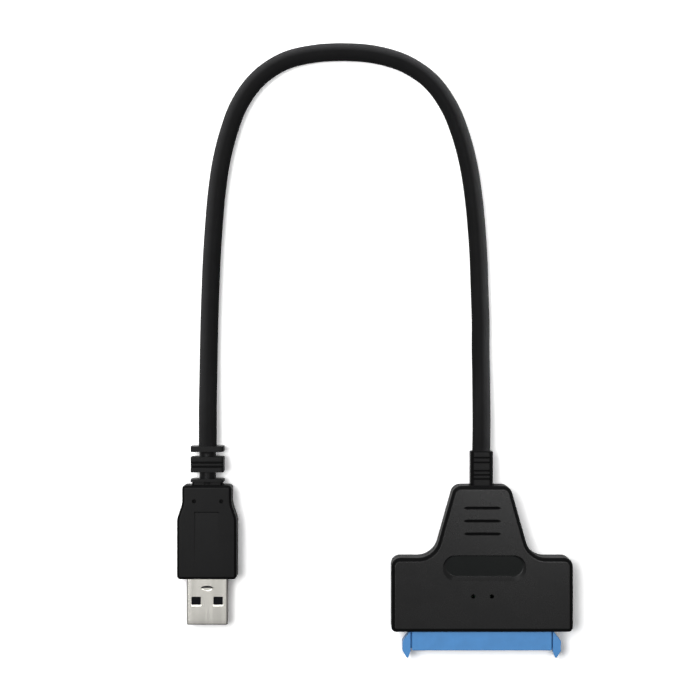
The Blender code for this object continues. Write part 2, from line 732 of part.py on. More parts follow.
def neck_half_width(y):
    """Half of the neck's width at a distance along the head."""
    share = (y - SHOULDER_Y) / NECK_LENGTH
    return (NECK_ROOT_WIDTH * (1 - share) + NECK_TIP_WIDTH * share) / 2


def add_board(material):
    """The bridge board, a T that fills the body and reaches into the neck."""
    half_body = BODY_WIDTH / 2 - WALL - BOARD_MARGIN
    half_neck = neck_half_width(BOARD_END_Y) - WALL - BOARD_MARGIN
    corners = [
        (-half_body, BOARD_FRONT_Y, BOARD_CORNER),
        (half_body, BOARD_FRONT_Y, BOARD_CORNER),
        (half_body, BOARD_SHOULDER_Y, BOARD_CORNER),
        (half_neck, BOARD_SHOULDER_Y, BOARD_CORNER),
        (half_neck, BOARD_END_Y, BOARD_CORNER),
        (-half_neck, BOARD_END_Y, BOARD_CORNER),
        (-half_neck, BOARD_SHOULDER_Y, BOARD_CORNER),
        (-half_body, BOARD_SHOULDER_Y, BOARD_CORNER),
    ]
    mesh = prism("circuit_board", corners, BOARD_TOP_Z - BOARD_THICKNESS, BOARD_TOP_Z, 2)
    add_object("circuit_board", mesh, material)


def add_component(name, x, y, length, width, thickness, material, edge=PART_EDGE):
    """A soldered block, standing on the board."""
    low = (-length / 2, -width / 2, 0)
    high = (length / 2, width / 2, thickness)
    component = add_object(name, boxes(name, [(low, high)], edge), material)
    component.location = (x, y, BOARD_TOP_Z + GAP)
    return component


def add_memory(x, y, material):
    """The small memory chip, with a row of legs along each long side."""
    memory = add_component("memory_chip", x, y, MEMORY_LENGTH, MEMORY_WIDTH, MEMORY_THICKNESS, material)
    reach = MEMORY_WIDTH / 2 + MEMORY_LEG_REACH
    half = MEMORY_LEG / 2
    legs = []
    for i in range(MEMORY_LEGS):
        leg_x = (i - (MEMORY_LEGS - 1) / 2) * MEMORY_LEG_PITCH
        legs.append(((leg_x - half, -reach, 0), (leg_x + half, reach, half)))
    combine(memory, boxes("memory_legs", legs), "UNION")
    bpy.data.objects["memory_legs"].location = memory.location


def add_components():
    """The bridge chip, its crystal, memory and supply parts, and the two lamps under their holes."""
    black = finish("chip_black", (0.03, 0.03, 0.032), 0.5)
    steel = finish("can_steel", (0.72, 0.72, 0.7), 0.3, 1.0)
    ferrite = finish("ferrite_grey", (0.16, 0.16, 0.17), 0.6)
    ceramic = finish("ceramic_tan", (0.55, 0.42, 0.28), 0.5)
    lens = finish("lamp_lens", (0.85, 0.88, 0.8), 0.25)

    for name, (x, y) in zip(("power_lamp", "activity_lamp"), lamp_centres()):
        add_component(name, x, y, LAMP_LENGTH, LAMP_WIDTH, LAMP_THICKNESS, lens)
    chip_y = LAMP_Y + LAMP_WIDTH / 2 + PART_SPACING + CHIP_SIZE / 2
    add_component("bridge_chip", 0, chip_y, CHIP_SIZE, CHIP_SIZE, CHIP_THICKNESS, black)

    left_x = -CHIP_SIZE / 2 - PART_SPACING - MEMORY_LENGTH / 2
    row_y = chip_y - PART_SPACING
    add_memory(left_x, row_y, black)
    left_x -= MEMORY_LENGTH / 2 + PART_SPACING + CAPACITOR_LENGTH / 2
    add_component("output_capacitor", left_x, row_y, CAPACITOR_LENGTH, CAPACITOR_WIDTH,
                  CAPACITOR_THICKNESS, ceramic)

    right_x = CHIP_SIZE / 2 + PART_SPACING + CRYSTAL_LENGTH / 2
    add_component("crystal", right_x, row_y, CRYSTAL_LENGTH, CRYSTAL_WIDTH, CRYSTAL_THICKNESS, steel)
    right_x += CRYSTAL_LENGTH / 2 + PART_SPACING + REGULATOR_LENGTH / 2
    tails_y = BOARD_FRONT_Y + CONTACT_TAIL
    regulator_y = tails_y + GAP + REGULATOR_WIDTH / 2
    add_component("voltage_regulator", right_x, regulator_y, REGULATOR_LENGTH, REGULATOR_WIDTH,
                  REGULATOR_THICKNESS, black)
    inductor_y = regulator_y + REGULATOR_WIDTH / 2 + PART_SPACING / 2 + INDUCTOR_SIZE / 2
    add_component("power_inductor", right_x, inductor_y, INDUCTOR_SIZE, INDUCTOR_SIZE,
                  INDUCTOR_THICKNESS, ferrite, INDUCTOR_CORNER)
    right_x += REGULATOR_LENGTH / 2 + PART_SPACING + CAPACITOR_WIDTH / 2
    add_component("input_capacitor", right_x, inductor_y, CAPACITOR_WIDTH, CAPACITOR_LENGTH,
                  CAPACITOR_THICKNESS, ceramic)


def add_wires():
    """Six conductors fan out from the sleeve to their pads at the end of the board."""
    colours = {
        "wire_supply": (0.55, 0.03, 0.03),
        "wire_data_minus": (0.8, 0.8, 0.78),
        "wire_data_plus": (0.05, 0.3, 0.08),
        "wire_ground": (0.03, 0.03, 0.03),
        "wire_pair_send": (0.04, 0.1, 0.45),
        "wire_pair_receive": (0.7, 0.5, 0.05),
    }
    start_y = SLEEVE_START_Y - 2 * GAP
    pad_y = BOARD_END_Y - WIRE_PAD_INSET
    pad_z = BOARD_TOP_Z + GAP + WIRE_RADIUS
    for i, (name, colour) in enumerate(colours.items()):
        column = i - (len(colours) - 1) / 2
        start = Vector((column * WIRE_BUNDLE_PITCH, start_y, MID_Z))
        end = Vector((column * WIRE_PITCH, pad_y, pad_z))
        reach = (start_y - pad_y) / 3
        bend_1 = start - Vector((0, reach, 0))
        bend_2 = end + Vector((0, reach, 0))
        points = [start]
        for step in range(1, WIRE_STEPS):
            t = step / WIRE_STEPS
            near = start * (1 - t) ** 3 + bend_1 * 3 * t * (1 - t) ** 2
            points.append(near + bend_2 * 3 * t ** 2 * (1 - t) + end * t ** 3)
        points.append(end)
        tube(name, points, WIRE_RADIUS, 1, finish(name + "_plastic", colour, 0.45))


def cable_route():
    """Points along the lead's centre, from the sleeve round the loop to the plug."""
    rest = CABLE_REST_Z
    drop = MID_Z - rest
    rise = PLUG_Z - rest
    return [
        (0.0000, SLEEVE_END_Y + GAP, MID_Z),
        (0.0001, 0.0370, rest + 0.97 * drop),
        (0.0001, 0.0440, rest + 0.75 * drop),
        (0.0001, 0.0520, rest + 0.30 * drop),
        (0.0000, 0.0600, rest + 0.05 * drop),
        (0.0000, 0.0683, rest),
        (-0.0003, 0.0774, rest),
        (-0.0006, 0.0866, rest),
        (-0.0012, 0.0957, rest),
        (-0.0021, 0.1048, rest),
        (-0.0035, 0.1138, rest),
        (-0.0058, 0.1227, rest),
        (-0.0092, 0.1311, rest),
        (-0.0145, 0.1385, rest),
        (-0.0220, 0.1437, rest),
        (-0.0307, 0.1464, rest),
        (-0.0398, 0.1472, rest),
        (-0.0490, 0.1467, rest),
        (-0.0578, 0.1445, rest),
        (-0.0654, 0.1394, rest),
        (-0.0708, 0.1321, rest),
        (-0.0741, 0.1236, rest),
        (-0.0763, 0.1147, rest),
        (-0.0776, 0.1056, rest),
        (-0.0784, 0.0965, rest),
        (-0.0790, 0.0874, rest),
        (-0.0794, 0.0783, rest),
        (-0.0797, 0.0691, rest),
        (-0.0799, 0.0600, rest + 0.05 * rise),
        (-0.0800, 0.0520, rest + 0.30 * rise),
        (-0.0801, 0.0440, rest + 0.75 * rise),
        (PLUG_X, 0.0375, rest + 0.97 * rise),
        (PLUG_X, PLUG_END_Y + GAP, PLUG_Z),
    ]


def add_cable(material):
    path = smooth_path(cable_route(), CABLE_SPACING * CABLE_DIAMETER)
    tube("cable_jacket", path, CABLE_RADIUS, 3, material)


def plug_corners():
    """The plug's moulding seen from above, counter-clockwise from its front left corner."""
    half_body = PLUG_WIDTH / 2
    half_neck = PLUG_NECK_WIDTH / 2
    right = [
        (half_body, 0, PLUG_CORNER),
        (half_body, PLUG_BODY_LENGTH, PLUG_FLARE_RADIUS),
        (half_neck, PLUG_FLARE_END, PLUG_FLARE_RADIUS),
        (half_neck, PLUG_NECK_END, PLUG_CORNER),
    ]
    left = [(-x, y, radius) for x, y, radius in right]
    return right + left[::-1]


def relief_section():
    half_x = RELIEF_WIDTH / 2
    half_z = RELIEF_THICKNESS / 2
    return rectangle(-half_x, -half_z, half_x, half_z, RELIEF_EDGE)


def add_plug_moulding(plug, material):
    """Grip and ribbed strain relief in one moulding, with a pocket in front for the metal shell."""
    corners = plug_corners()
    half_z = PLUG_THICKNESS / 2
    layers = rim_layers(corners, -half_z, PLUG_RIM - half_z, PLUG_RIM)[::-1]
    layers += rim_layers(corners, half_z, half_z - PLUG_RIM, PLUG_RIM)
    moulding = add_object("usb_overmould", loft("usb_overmould", layers), material, plug)

    bar = along_y("relief_bar", relief_section(), PLUG_NECK_END - RELIEF_ROOT_PLATE, RELIEF_END, 2)
    combine(moulding, bar, "UNION")
    half_spine = RELIEF_SPINE / 2
    outside = RELIEF_WIDTH / 2 + CUT_OVERRUN
    notches = []
    for start in (RELIEF_NOTCH_1, RELIEF_NOTCH_2):
        for side in (-1, 1):
            near, far = sorted((side * half_spine, side * outside))
            notches.append(((near, start, -outside), (far, start + RELIEF_NOTCH, outside)))
    combine(moulding, boxes("relief_notches", notches))
    grooves = []
    middle = RELIEF_MIDDLE + RELIEF_MIDDLE_PLATE / 2
    for y in (middle - RELIEF_GROOVE_SPACING / 2, middle + RELIEF_GROOVE_SPACING / 2):
        for side in (-1, 1):
            near, far = sorted((side * (RELIEF_THICKNESS / 2 - RELIEF_GROOVE_DEPTH), side * outside))
            grooves.append((
                (-outside, y - RELIEF_GROOVE / 2, near),
                (outside, y + RELIEF_GROOVE / 2, far),
            ))
    combine(moulding, boxes("relief_grooves", grooves))

    pocket = along_y("shell_pocket", shell_section(-SHELL_FIT), -CUT_OVERRUN, SHELL_BURIED + GAP)
    combine(moulding, pocket)
    mark_y = PLUG_FLARE_END + PIN_MARK_BEHIND_FLARE
    marks = [(side * PIN_MARK_SPACING / 2, mark_y) for side in (-1, 1)]
    combine(moulding, rods("pin_marks", marks, PIN_MARK_RADIUS, half_z - PIN_MARK_DEPTH,
                           half_z + CUT_OVERRUN, 12))
    half_x = PLUG_WIDTH / 2 - THUMB_MARGIN
    thumb_end = THUMB_START + THUMB_LENGTH
    thumb = loft("thumb_panel", [
        [
            (x, thumb_end, half_z - THUMB_DEPTH),
            (x, thumb_end, half_z + CUT_OVERRUN),
            (x, THUMB_START, half_z + CUT_OVERRUN),
            (x, THUMB_START, half_z),
        ]
        for x in (-half_x, half_x)
    ])
    combine(moulding, thumb)


def shell_section(inset):
    """The shell's section in X and Z, inset by a distance from its outer face."""
    half_x = SHELL_WIDTH / 2
    half_z = SHELL_THICKNESS / 2
    return inset_corners(rectangle(-half_x, -half_z, half_x, half_z, SHELL_CORNER), inset)


def crimp_cutter():
    """An arched slit in the shell's upper face, close to the moulding."""
    half_angle = math.asin(CRIMP_WIDTH / 2 / CRIMP_RADIUS)
    centre_y = -CRIMP_FROM_FRONT - CRIMP_RADIUS
    low_z = SHELL_THICKNESS / 2 - SHELL_WALL * 1.5
    high_z = SHELL_THICKNESS / 2 + CUT_OVERRUN
    outer = []
    inner = []
    for step in range(CRIMP_STEPS + 1):
        angle = half_angle * (2 * step / CRIMP_STEPS - 1)
        fullness = math.cos(angle / half_angle * math.pi / 2)
        thickness = CRIMP_SLOT * (CRIMP_END_SHARE + (1 - CRIMP_END_SHARE) * fullness)
        outer.append((CRIMP_RADIUS * math.sin(angle), centre_y + CRIMP_RADIUS * math.cos(angle)))
        inner_radius = CRIMP_RADIUS - thickness
        inner.append((inner_radius * math.sin(angle), centre_y + inner_radius * math.cos(angle)))
    loop = outer + inner[::-1]
    return loft("crimp_slit", [[(x, y, z) for x, y in loop] for z in (low_z, high_z)])


def add_shell(plug, material):
    """The folded steel shell, with two square windows in each wide face."""
    shell = add_object("usb_shell", along_y("usb_shell", shell_section(0), -SHELL_REACH, SHELL_BURIED),
                       material, plug)
    hollow = along_y("shell_hollow", shell_section(SHELL_WALL), -SHELL_REACH - CUT_OVERRUN,
                     SHELL_BURIED + CUT_OVERRUN)
    combine(shell, hollow)
    half = SHELL_WINDOW_WIDTH / 2
    through = SHELL_THICKNESS / 2 + CUT_OVERRUN
    windows = []
    for side in (-1, 1):
        x = side * SHELL_WINDOW_SPACING / 2
        windows.append((
            (x - half, -SHELL_WINDOW_START - SHELL_WINDOW_LENGTH, -through),
            (x + half, -SHELL_WINDOW_START, through),
        ))
    combine(shell, boxes("shell_windows", windows))
    combine(shell, crimp_cutter())


def pad_places():
    outer = PAD_OUTER_SPACING / 2
    inner = PAD_INNER_SPACING / 2
    return [-outer, -inner, inner, outer]


def spring_places():
    return [(i - (SPRING_COUNT - 1) / 2) * SPRING_PITCH for i in range(SPRING_COUNT)]


def add_insulator(plug, material, metal):
    """The dark insulator: a block that fills the shell's root, and a tongue that carries nine contacts."""
    inside_x = SHELL_WIDTH / 2 - SHELL_WALL - INSULATOR_FIT
    inside_z = SHELL_THICKNESS / 2 - SHELL_WALL - INSULATOR_FIT
    front = -SHELL_REACH + INSULATOR_SETBACK
    root = -INSULATOR_REACH
    tongue_top = -inside_z + INSULATOR_TONGUE
    loop = [
        (front, -inside_z),
        (SHELL_BURIED - GAP, -inside_z),
        (SHELL_BURIED - GAP, inside_z),
        (root, inside_z),
        (root, tongue_top),
        (front, tongue_top),
    ]
    mesh = loft("usb_insulator", [[(x, y, z) for y, z in loop] for x in (-inside_x, inside_x)])
    insulator = add_object("usb_insulator", mesh, material, plug)

    pad_front = front + PAD_SETBACK
    seats = []
    depth = PAD_THICKNESS + CONTACT_FIT
    for x in pad_places():
        half = PAD_WIDTH / 2 + CONTACT_FIT
        seats.append((
            (x - half, pad_front - CONTACT_FIT, tongue_top - depth),
            (x + half, pad_front + PAD_LENGTH + CONTACT_FIT, tongue_top + CUT_OVERRUN / 2),
        ))
    spring_back = root - 2 * CONTACT_FIT
    for x in spring_places():
        half = SPRING_WIDTH / 2 + CONTACT_FIT
        seats.append((
            (x - half, spring_back - SPRING_LENGTH - CONTACT_FIT, tongue_top - depth),
            (x + half, spring_back + CONTACT_FIT, tongue_top + CUT_OVERRUN / 2),
        ))
    combine(insulator, boxes("contact_seats", seats))

    low = tongue_top - PAD_THICKNESS
    for i, x in enumerate(pad_places()):
        name = f"usb_contact_{i + 1}"
        pad = boxes(name, [(
            (-PAD_WIDTH / 2, pad_front, low),
            (PAD_WIDTH / 2, pad_front + PAD_LENGTH, tongue_top),
        )])
        add_object(name, pad, metal, plug).location.x = x
    for i, x in enumerate(spring_places()):
        name = f"usb_fast_contact_{i + 1}"
        add_object(name, spring_mesh(name, spring_back, low), metal, plug).location.x = x


def spring_mesh(name, back, low):
    """A small raised contact with a rounded crest."""
    front = back - SPRING_LENGTH
    crest = low + SPRING_HEIGHT
    shoulder = low + SPRING_HEIGHT / 2
    quarter = SPRING_LENGTH / 4
    loop = [
        (front, low),
        (back, low),
        (back, shoulder),
        (back - quarter, crest),
        (front + quarter, crest),
        (front, shoulder),
    ]
    half = SPRING_WIDTH / 2
    return loft(name, [[(x, y, z) for y, z in loop] for x in (-half, half)])


def add_plug(black):
    """Everything on the lead's far end, placed by one empty, with the tongue facing down."""
    plug = bpy.data.objects.new("usb_plug_place", None)
    plug.location = (PLUG_X, PLUG_FRONT_Y, PLUG_Z)
    bpy.context.collection.objects.link(plug)
    steel = finish("shell_steel", (0.75, 0.74, 0.7), 0.28, 1.0)
    dark = finish("insulator_black", (0.02, 0.022, 0.026), 0.45)
    gold = finish("plug_contact_gold", (0.83, 0.65, 0.3), 0.3, 1.0)
    add_plug_moulding(plug, black)
    add_shell(plug, steel)
    tongue = bpy.data.objects.new("usb_tongue_place", None)
    tongue.parent = plug
    tongue.rotation_euler.y = math.pi
    bpy.context.collection.objects.link(tongue)
    add_insulator(tongue, dark, gold)


def main():
    clear_scene()
    black = finish("housing_black", (0.035, 0.035, 0.036), 0.42)
    soft_black = finish("moulding_black", (0.022, 0.022, 0.023), 0.5)
    add_top_cover(black)
    add_bottom_cover(black)
    add_sleeve(soft_black)
    add_connector(finish("connector_blue", (0.1, 0.28, 0.6), 0.35))
    add_contacts(finish("contact_gold", (0.83, 0.65, 0.3), 0.3, 1.0))
    add_board(finish("board_green", (0.02, 0.16, 0.07), 0.4))
    add_components()
    add_wires()
    add_cable(finish("jacket_black", (0.02, 0.02, 0.021), 0.5))
    add_plug(soft_black)


main()
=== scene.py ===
"""A lead that joins a bare drive to a computer, lying flat and seen from straight above.

A flat black head with a blue drive connector, a round lead in one loop, and a USB A plug.
"""

import math

import bmesh
import bpy
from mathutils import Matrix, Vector


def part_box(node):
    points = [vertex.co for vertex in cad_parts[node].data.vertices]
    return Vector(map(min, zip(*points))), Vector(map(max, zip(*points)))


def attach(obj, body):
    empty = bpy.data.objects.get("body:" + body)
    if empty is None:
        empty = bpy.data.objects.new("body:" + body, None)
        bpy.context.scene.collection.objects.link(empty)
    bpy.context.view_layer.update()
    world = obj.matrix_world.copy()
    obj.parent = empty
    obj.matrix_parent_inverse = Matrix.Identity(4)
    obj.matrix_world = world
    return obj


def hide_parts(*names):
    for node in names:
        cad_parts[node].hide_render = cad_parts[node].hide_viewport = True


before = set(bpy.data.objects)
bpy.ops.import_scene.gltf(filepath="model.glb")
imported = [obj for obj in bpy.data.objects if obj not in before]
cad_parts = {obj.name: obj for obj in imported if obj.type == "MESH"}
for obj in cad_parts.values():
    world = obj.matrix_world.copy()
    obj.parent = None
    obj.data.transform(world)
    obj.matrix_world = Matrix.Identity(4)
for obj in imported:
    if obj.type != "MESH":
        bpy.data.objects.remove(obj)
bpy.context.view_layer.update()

MM = 0.001

# Camera. It looks straight down from a little under half a metre, between the head and the plug,
# so that the sides of both lean outwards a little.
CAMERA_PLACE = (-0.0384, 0.0596, 0.475)
bpy.ops.object.camera_add(location=CAMERA_PLACE, rotation=(0, 0, 0))
camera = bpy.context.object
camera.data.sensor_width = 36
camera.data.lens = 82.6
camera.data.clip_start = 0.01
bpy.context.scene.camera = camera

# Lead. A round jacket of soft black plastic over the conductors, extruded in one length. It leaves
# the head's sleeve, drops to the table, turns once and rises a little into the plug.
LEAD_DIAMETER = 5.3 * MM
LEAD_TUCK = 0.6 * MM
sleeve_low, sleeve_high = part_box("head_strain_relief")
moulding_low, moulding_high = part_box("usb_overmould")
SLEEVE_Z = (sleeve_low.z + sleeve_high.z) / 2
PLUG_Z = (moulding_low.z + moulding_high.z) / 2
PLUG_X = (moulding_low.x + moulding_high.x) / 2
LEAD_REST = LEAD_DIAMETER / 2 + 0.05 * MM
LEAD_DROP = SLEEVE_Z - LEAD_REST
LEAD_RISE = PLUG_Z - LEAD_REST
lead_route = [
    (0.0000, sleeve_high.y - LEAD_TUCK, SLEEVE_Z),
    (0.0001, 0.0370, LEAD_REST + 0.97 * LEAD_DROP),
    (0.0001, 0.0440, LEAD_REST + 0.75 * LEAD_DROP),
    (0.0001, 0.0520, LEAD_REST + 0.30 * LEAD_DROP),
    (0.0000, 0.0600, LEAD_REST + 0.05 * LEAD_DROP),
    (0.0000, 0.0683, LEAD_REST),
    (-0.0003, 0.0774, LEAD_REST),
    (-0.0006, 0.0866, LEAD_REST),
    (-0.0012, 0.0957, LEAD_REST),
    (-0.0021, 0.1048, LEAD_REST),
    (-0.0035, 0.1138, LEAD_REST),
    (-0.0058, 0.1227, LEAD_REST),
    (-0.0092, 0.1311, LEAD_REST),
    (-0.0145, 0.1385, LEAD_REST),
    (-0.0220, 0.1437, LEAD_REST),
    (-0.0307, 0.1464, LEAD_REST),
    (-0.0398, 0.1472, LEAD_REST),
    (-0.0490, 0.1467, LEAD_REST),
    (-0.0578, 0.1445, LEAD_REST),
    (-0.0654, 0.1394, LEAD_REST),
    (-0.0708, 0.1321, LEAD_REST),
    (-0.0741, 0.1236, LEAD_REST),
    (-0.0763, 0.1147, LEAD_REST),
    (-0.0776, 0.1056, LEAD_REST),
    (-0.0784, 0.0965, LEAD_REST),
    (-0.0790, 0.0874, LEAD_REST),
    (-0.0794, 0.0783, LEAD_REST),
    (-0.0797, 0.0691, LEAD_REST),
    (-0.0799, 0.0600, LEAD_REST + 0.05 * LEAD_RISE),
    (-0.0800, 0.0520, LEAD_REST + 0.30 * LEAD_RISE),
    (-0.0801, 0.0440, LEAD_REST + 0.75 * LEAD_RISE),
    (PLUG_X, 0.0375, LEAD_REST + 0.97 * LEAD_RISE),
    (PLUG_X, moulding_high.y - LEAD_TUCK, PLUG_Z),
]


def rounded_route(route, steps):
    """Closely spaced points on a smooth curve through every point of the route."""
    knots = [Vector(point) for point in route]
    knots = [2 * knots[0] - knots[1], *knots, 2 * knots[-1] - knots[-2]]
    fine = []
    for p0, p1, p2, p3 in zip(knots, knots[1:], knots[2:], knots[3:]):
        for step in range(steps):
            t = step / steps
            turn = (2 * p0 - 5 * p1 + 4 * p2 - p3) * t**2 + (3 * p1 - p0 - 3 * p2 + p3) * t**3
            fine.append(0.5 * (2 * p1 + (p2 - p0) * t + turn))
    return fine + [knots[-2]]


def round_cord(name, points, diameter):
    """A round cord along points, closed at both ends."""
    line = bpy.data.curves.new(name, "CURVE")
    line.dimensions = "3D"
    line.bevel_depth = diameter / 2
    line.bevel_resolution = 8
    line.use_fill_caps = True
    spline = line.splines.new("POLY")
    spline.points.add(len(points) - 1)
    for knot, point in zip(spline.points, points):
        knot.co = (*point, 1.0)
    spline.use_smooth = True
    cord = bpy.data.objects.new(name, line)
    bpy.context.scene.collection.objects.link(cord)
    return cord


def moulded_plastic(name, colour, roughness, grain, depth, shine=0.5, coat=0.0):
    """Moulded plastic: the mould's fine grain, faint cloudy colour and slightly uneven gloss."""
    material = bpy.data.materials.new(name)
    material.use_nodes = True
    material.diffuse_color = (*colour, 1.0)
    nodes = material.node_tree.nodes
    links = material.node_tree.links
    shader = nodes["Principled BSDF"]
    shader.inputs["Specular IOR Level"].default_value = shine
    shader.inputs["Coat Weight"].default_value = coat
    shader.inputs["Coat Roughness"].default_value = 0.12
    place = nodes.new("ShaderNodeTexCoord")

    clouds = nodes.new("ShaderNodeTexNoise")
    clouds.inputs["Scale"].default_value = 260
    clouds.inputs["Detail"].default_value = 4
    tint = nodes.new("ShaderNodeValToRGB")
    tint.color_ramp.elements[0].position = 0.3
    tint.color_ramp.elements[0].color = (*[c * 0.93 for c in colour], 1.0)
    tint.color_ramp.elements[1].position = 0.7
    tint.color_ramp.elements[1].color = (*[c * 1.07 for c in colour], 1.0)
    links.new(place.outputs["Object"], clouds.inputs["Vector"])
    links.new(clouds.outputs["Fac"], tint.inputs["Fac"])
    links.new(tint.outputs["Color"], shader.inputs["Base Color"])

    gloss = nodes.new("ShaderNodeMapRange")
    gloss.inputs["To Min"].default_value = roughness * 0.9
    gloss.inputs["To Max"].default_value = roughness * 1.1
    links.new(clouds.outputs["Fac"], gloss.inputs["Value"])
    links.new(gloss.outputs["Result"], shader.inputs["Roughness"])

    pores = nodes.new("ShaderNodeTexNoise")
    pores.inputs["Scale"].default_value = grain
    pores.inputs["Detail"].default_value = 2
    relief = nodes.new("ShaderNodeBump")
    relief.inputs["Strength"].default_value = 0.35
    relief.inputs["Distance"].default_value = depth
    links.new(place.outputs["Object"], pores.inputs["Vector"])
    links.new(pores.outputs["Fac"], relief.inputs["Height"])
    links.new(relief.outputs["Normal"], shader.inputs["Normal"])
    return material


lead = round_cord("lead_jacket", rounded_route(lead_route, 5), LEAD_DIAMETER)
jacket_black = moulded_plastic(
    "jacket_black", (0.0100, 0.0100, 0.0103), 0.45, 4200, 0.02 * MM, 0.005
)
lead.data.materials.append(jacket_black)
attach(lead, "root")
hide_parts("cable_jacket")

# Head housing. Two moulded halves of black ABS with a fine grain, a square front for the drive
# connector and a neck that narrows to the lead. They meet in a seam round the middle and lock with
# a lip behind it. The top carries three grip grooves, a bare oval recess and two lamp holes.
WALL = 1.6 * MM
FIT = 0.3 * MM
OVERRUN = 1.0 * MM
cover_low, cover_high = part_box("head_top_cover")
under_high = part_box("head_bottom_cover")[1]
FRONT_Y = cover_low.y
TIP_Y = cover_high.y
HALF_BODY = cover_high.x
TOP_Z = cover_high.z
MID_Z = TOP_Z / 2
BODY_LENGTH = 21.6 * MM
NECK_LENGTH = TIP_Y - FRONT_Y - BODY_LENGTH
SHOULDER_Y = FRONT_Y + BODY_LENGTH
HALF_ROOT = 14.05 * MM
HALF_TIP = 8.15 * MM
RIM_RADIUS = 1.3 * MM
FRONT_RADIUS = 1.4 * MM
SHOULDER_RADIUS = 2.6 * MM
WAIST_RADIUS = 5.8 * MM
TIP_RADIUS = 2.7 * MM
LEAST_RADIUS = 0.2 * MM


def alone(piece):
    """Leaves one piece selected and active."""
    bpy.ops.object.select_all(action="DESELECT")
    piece.select_set(True)
    bpy.context.view_layer.objects.active = piece


def block(name, low, high):
    """A box from its lowest to its highest corner."""
    bpy.ops.object.select_all(action="DESELECT")
    centre = [(a + b) / 2 for a, b in zip(low, high)]
    bpy.ops.mesh.primitive_cube_add(size=1, location=centre)
    piece = bpy.context.object
    piece.name = name
    piece.scale = [b - a for a, b in zip(low, high)]
    bpy.ops.object.transform_apply(location=True, rotation=True, scale=True)
    return piece


def drum(name, centre, radius, depth, sides=32, axis="Z"):
    """A round bar centred on a point, along Z, X or Y."""
    bpy.ops.object.select_all(action="DESELECT")
    turn = {"Z": (0, 0, 0), "X": (0, math.pi / 2, 0), "Y": (math.pi / 2, 0, 0)}[axis]
    bpy.ops.mesh.primitive_cylinder_add(
        vertices=sides, radius=radius, depth=depth, location=centre, rotation=turn
    )
    piece = bpy.context.object
    piece.name = name
    bpy.ops.object.transform_apply(location=True, rotation=True, scale=True)
    return piece


def pick(piece, kind, wanted):
    """Edit mode on one piece, with only the vertices, edges or faces that are wanted selected."""
    alone(piece)
    bpy.ops.object.mode_set(mode="EDIT")
    bpy.ops.mesh.select_mode(type=kind)
    bpy.ops.mesh.select_all(action="DESELECT")
    shape = bmesh.from_edit_mesh(piece.data)
    parts = {"VERT": shape.verts, "EDGE": shape.edges, "FACE": shape.faces}[kind]
    found = 0
    for part in parts:
        if wanted(part):
            part.select_set(True)
            found += 1
    bmesh.update_edit_mesh(piece.data)
    return found


def pick_all(piece):
    """Edit mode on one piece, with all of it selected."""
    alone(piece)
    bpy.ops.object.mode_set(mode="EDIT")
    bpy.ops.mesh.select_all(action="SELECT")


def done():
    """Back to object mode."""
    bpy.ops.object.mode_set(mode="OBJECT")


def split(piece, across, along):
    """Adds a loop of edges where a plane crosses a piece."""
    pick_all(piece)
    bpy.ops.mesh.bisect(plane_co=across, plane_no=along)
    done()


def shift(piece, wanted, move):
    """Moves the wanted vertices of a piece."""
    pick(piece, "VERT", wanted)
    bpy.ops.transform.translate(value=move)
    done()


def near(a, b, reach=0.02 * MM):
    """Whether two lengths are the same."""
    return abs(a - b) < reach


def ends(edge):
    """The two ends of an edge."""
    return [vert.co for vert in edge.verts]


def round_edges(piece, wanted, radius, segments=6):
    """Rounds the wanted edges of a piece."""
    if pick(piece, "EDGE", wanted):
        bpy.ops.mesh.bevel(offset=radius, segments=segments, affect="EDGES", profile=0.5)
    done()


def upright(edge):
    """Whether an edge runs along Z."""
    a, b = ends(edge)
    return near(a.x, b.x) and near(a.y, b.y)


def round_upright(piece, x, y, radius, segments=8):
    """Rounds the upright edges that stand at (x, y) and at (-x, y)."""
    round_edges(
        piece,
        lambda edge: upright(edge) and near(abs(ends(edge)[0].x), x) and near(ends(edge)[0].y, y),
        radius,
        segments,
    )


def merge_with(piece, other, operation):
    """Cuts another solid out of a piece, or joins it on, and removes the other."""
    change = piece.modifiers.new(operation.lower(), "BOOLEAN")
    change.operation = operation
    change.solver = "EXACT"
    change.object = other
    change.material_mode = "TRANSFER"
    alone(piece)
    bpy.ops.object.modifier_apply(modifier=change.name)
    bpy.data.objects.remove(other, do_unlink=True)


def cut(piece, other):
    """Cuts another solid out of a piece."""
    merge_with(piece, other, "DIFFERENCE")


def weld(piece, other):
    """Joins another solid on to a piece."""
    merge_with(piece, other, "UNION")


def soften(piece, width, angle):
    """Takes the sharpness off every edge that turns by more than an angle."""
    change = piece.modifiers.new("soften", "BEVEL")
    change.width = width
    change.segments = 2
    change.limit_method = "ANGLE"
    change.angle_limit = math.radians(angle)
    alone(piece)
    bpy.ops.object.modifier_apply(modifier=change.name)


def join_all(name, parts):
    """Several separate solids as one piece."""
    alone(parts[0])
    for part in parts:
        part.select_set(True)
    bpy.ops.object.join()
    joined = bpy.context.object
    joined.name = name
    return joined


def dress(piece, material, nodes, angle=32):
    """Smooths the round parts, keeps the flats flat, and fixes a finished piece in its place."""
    pick_all(piece)
    bpy.ops.mesh.remove_doubles(threshold=0.002 * MM)
    bpy.ops.mesh.normals_make_consistent(inside=False)
    done()
    bpy.ops.object.shade_smooth_by_angle(angle=math.radians(angle))
    flats = piece.modifiers.new("flats", "WEIGHTED_NORMAL")
    flats.keep_sharp = True
    bpy.ops.object.modifier_apply(modifier=flats.name)
    if not any(piece.data.materials):
        piece.data.materials.clear()
        piece.data.materials.append(material)
    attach(piece, "root")
    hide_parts(*nodes)
    return piece


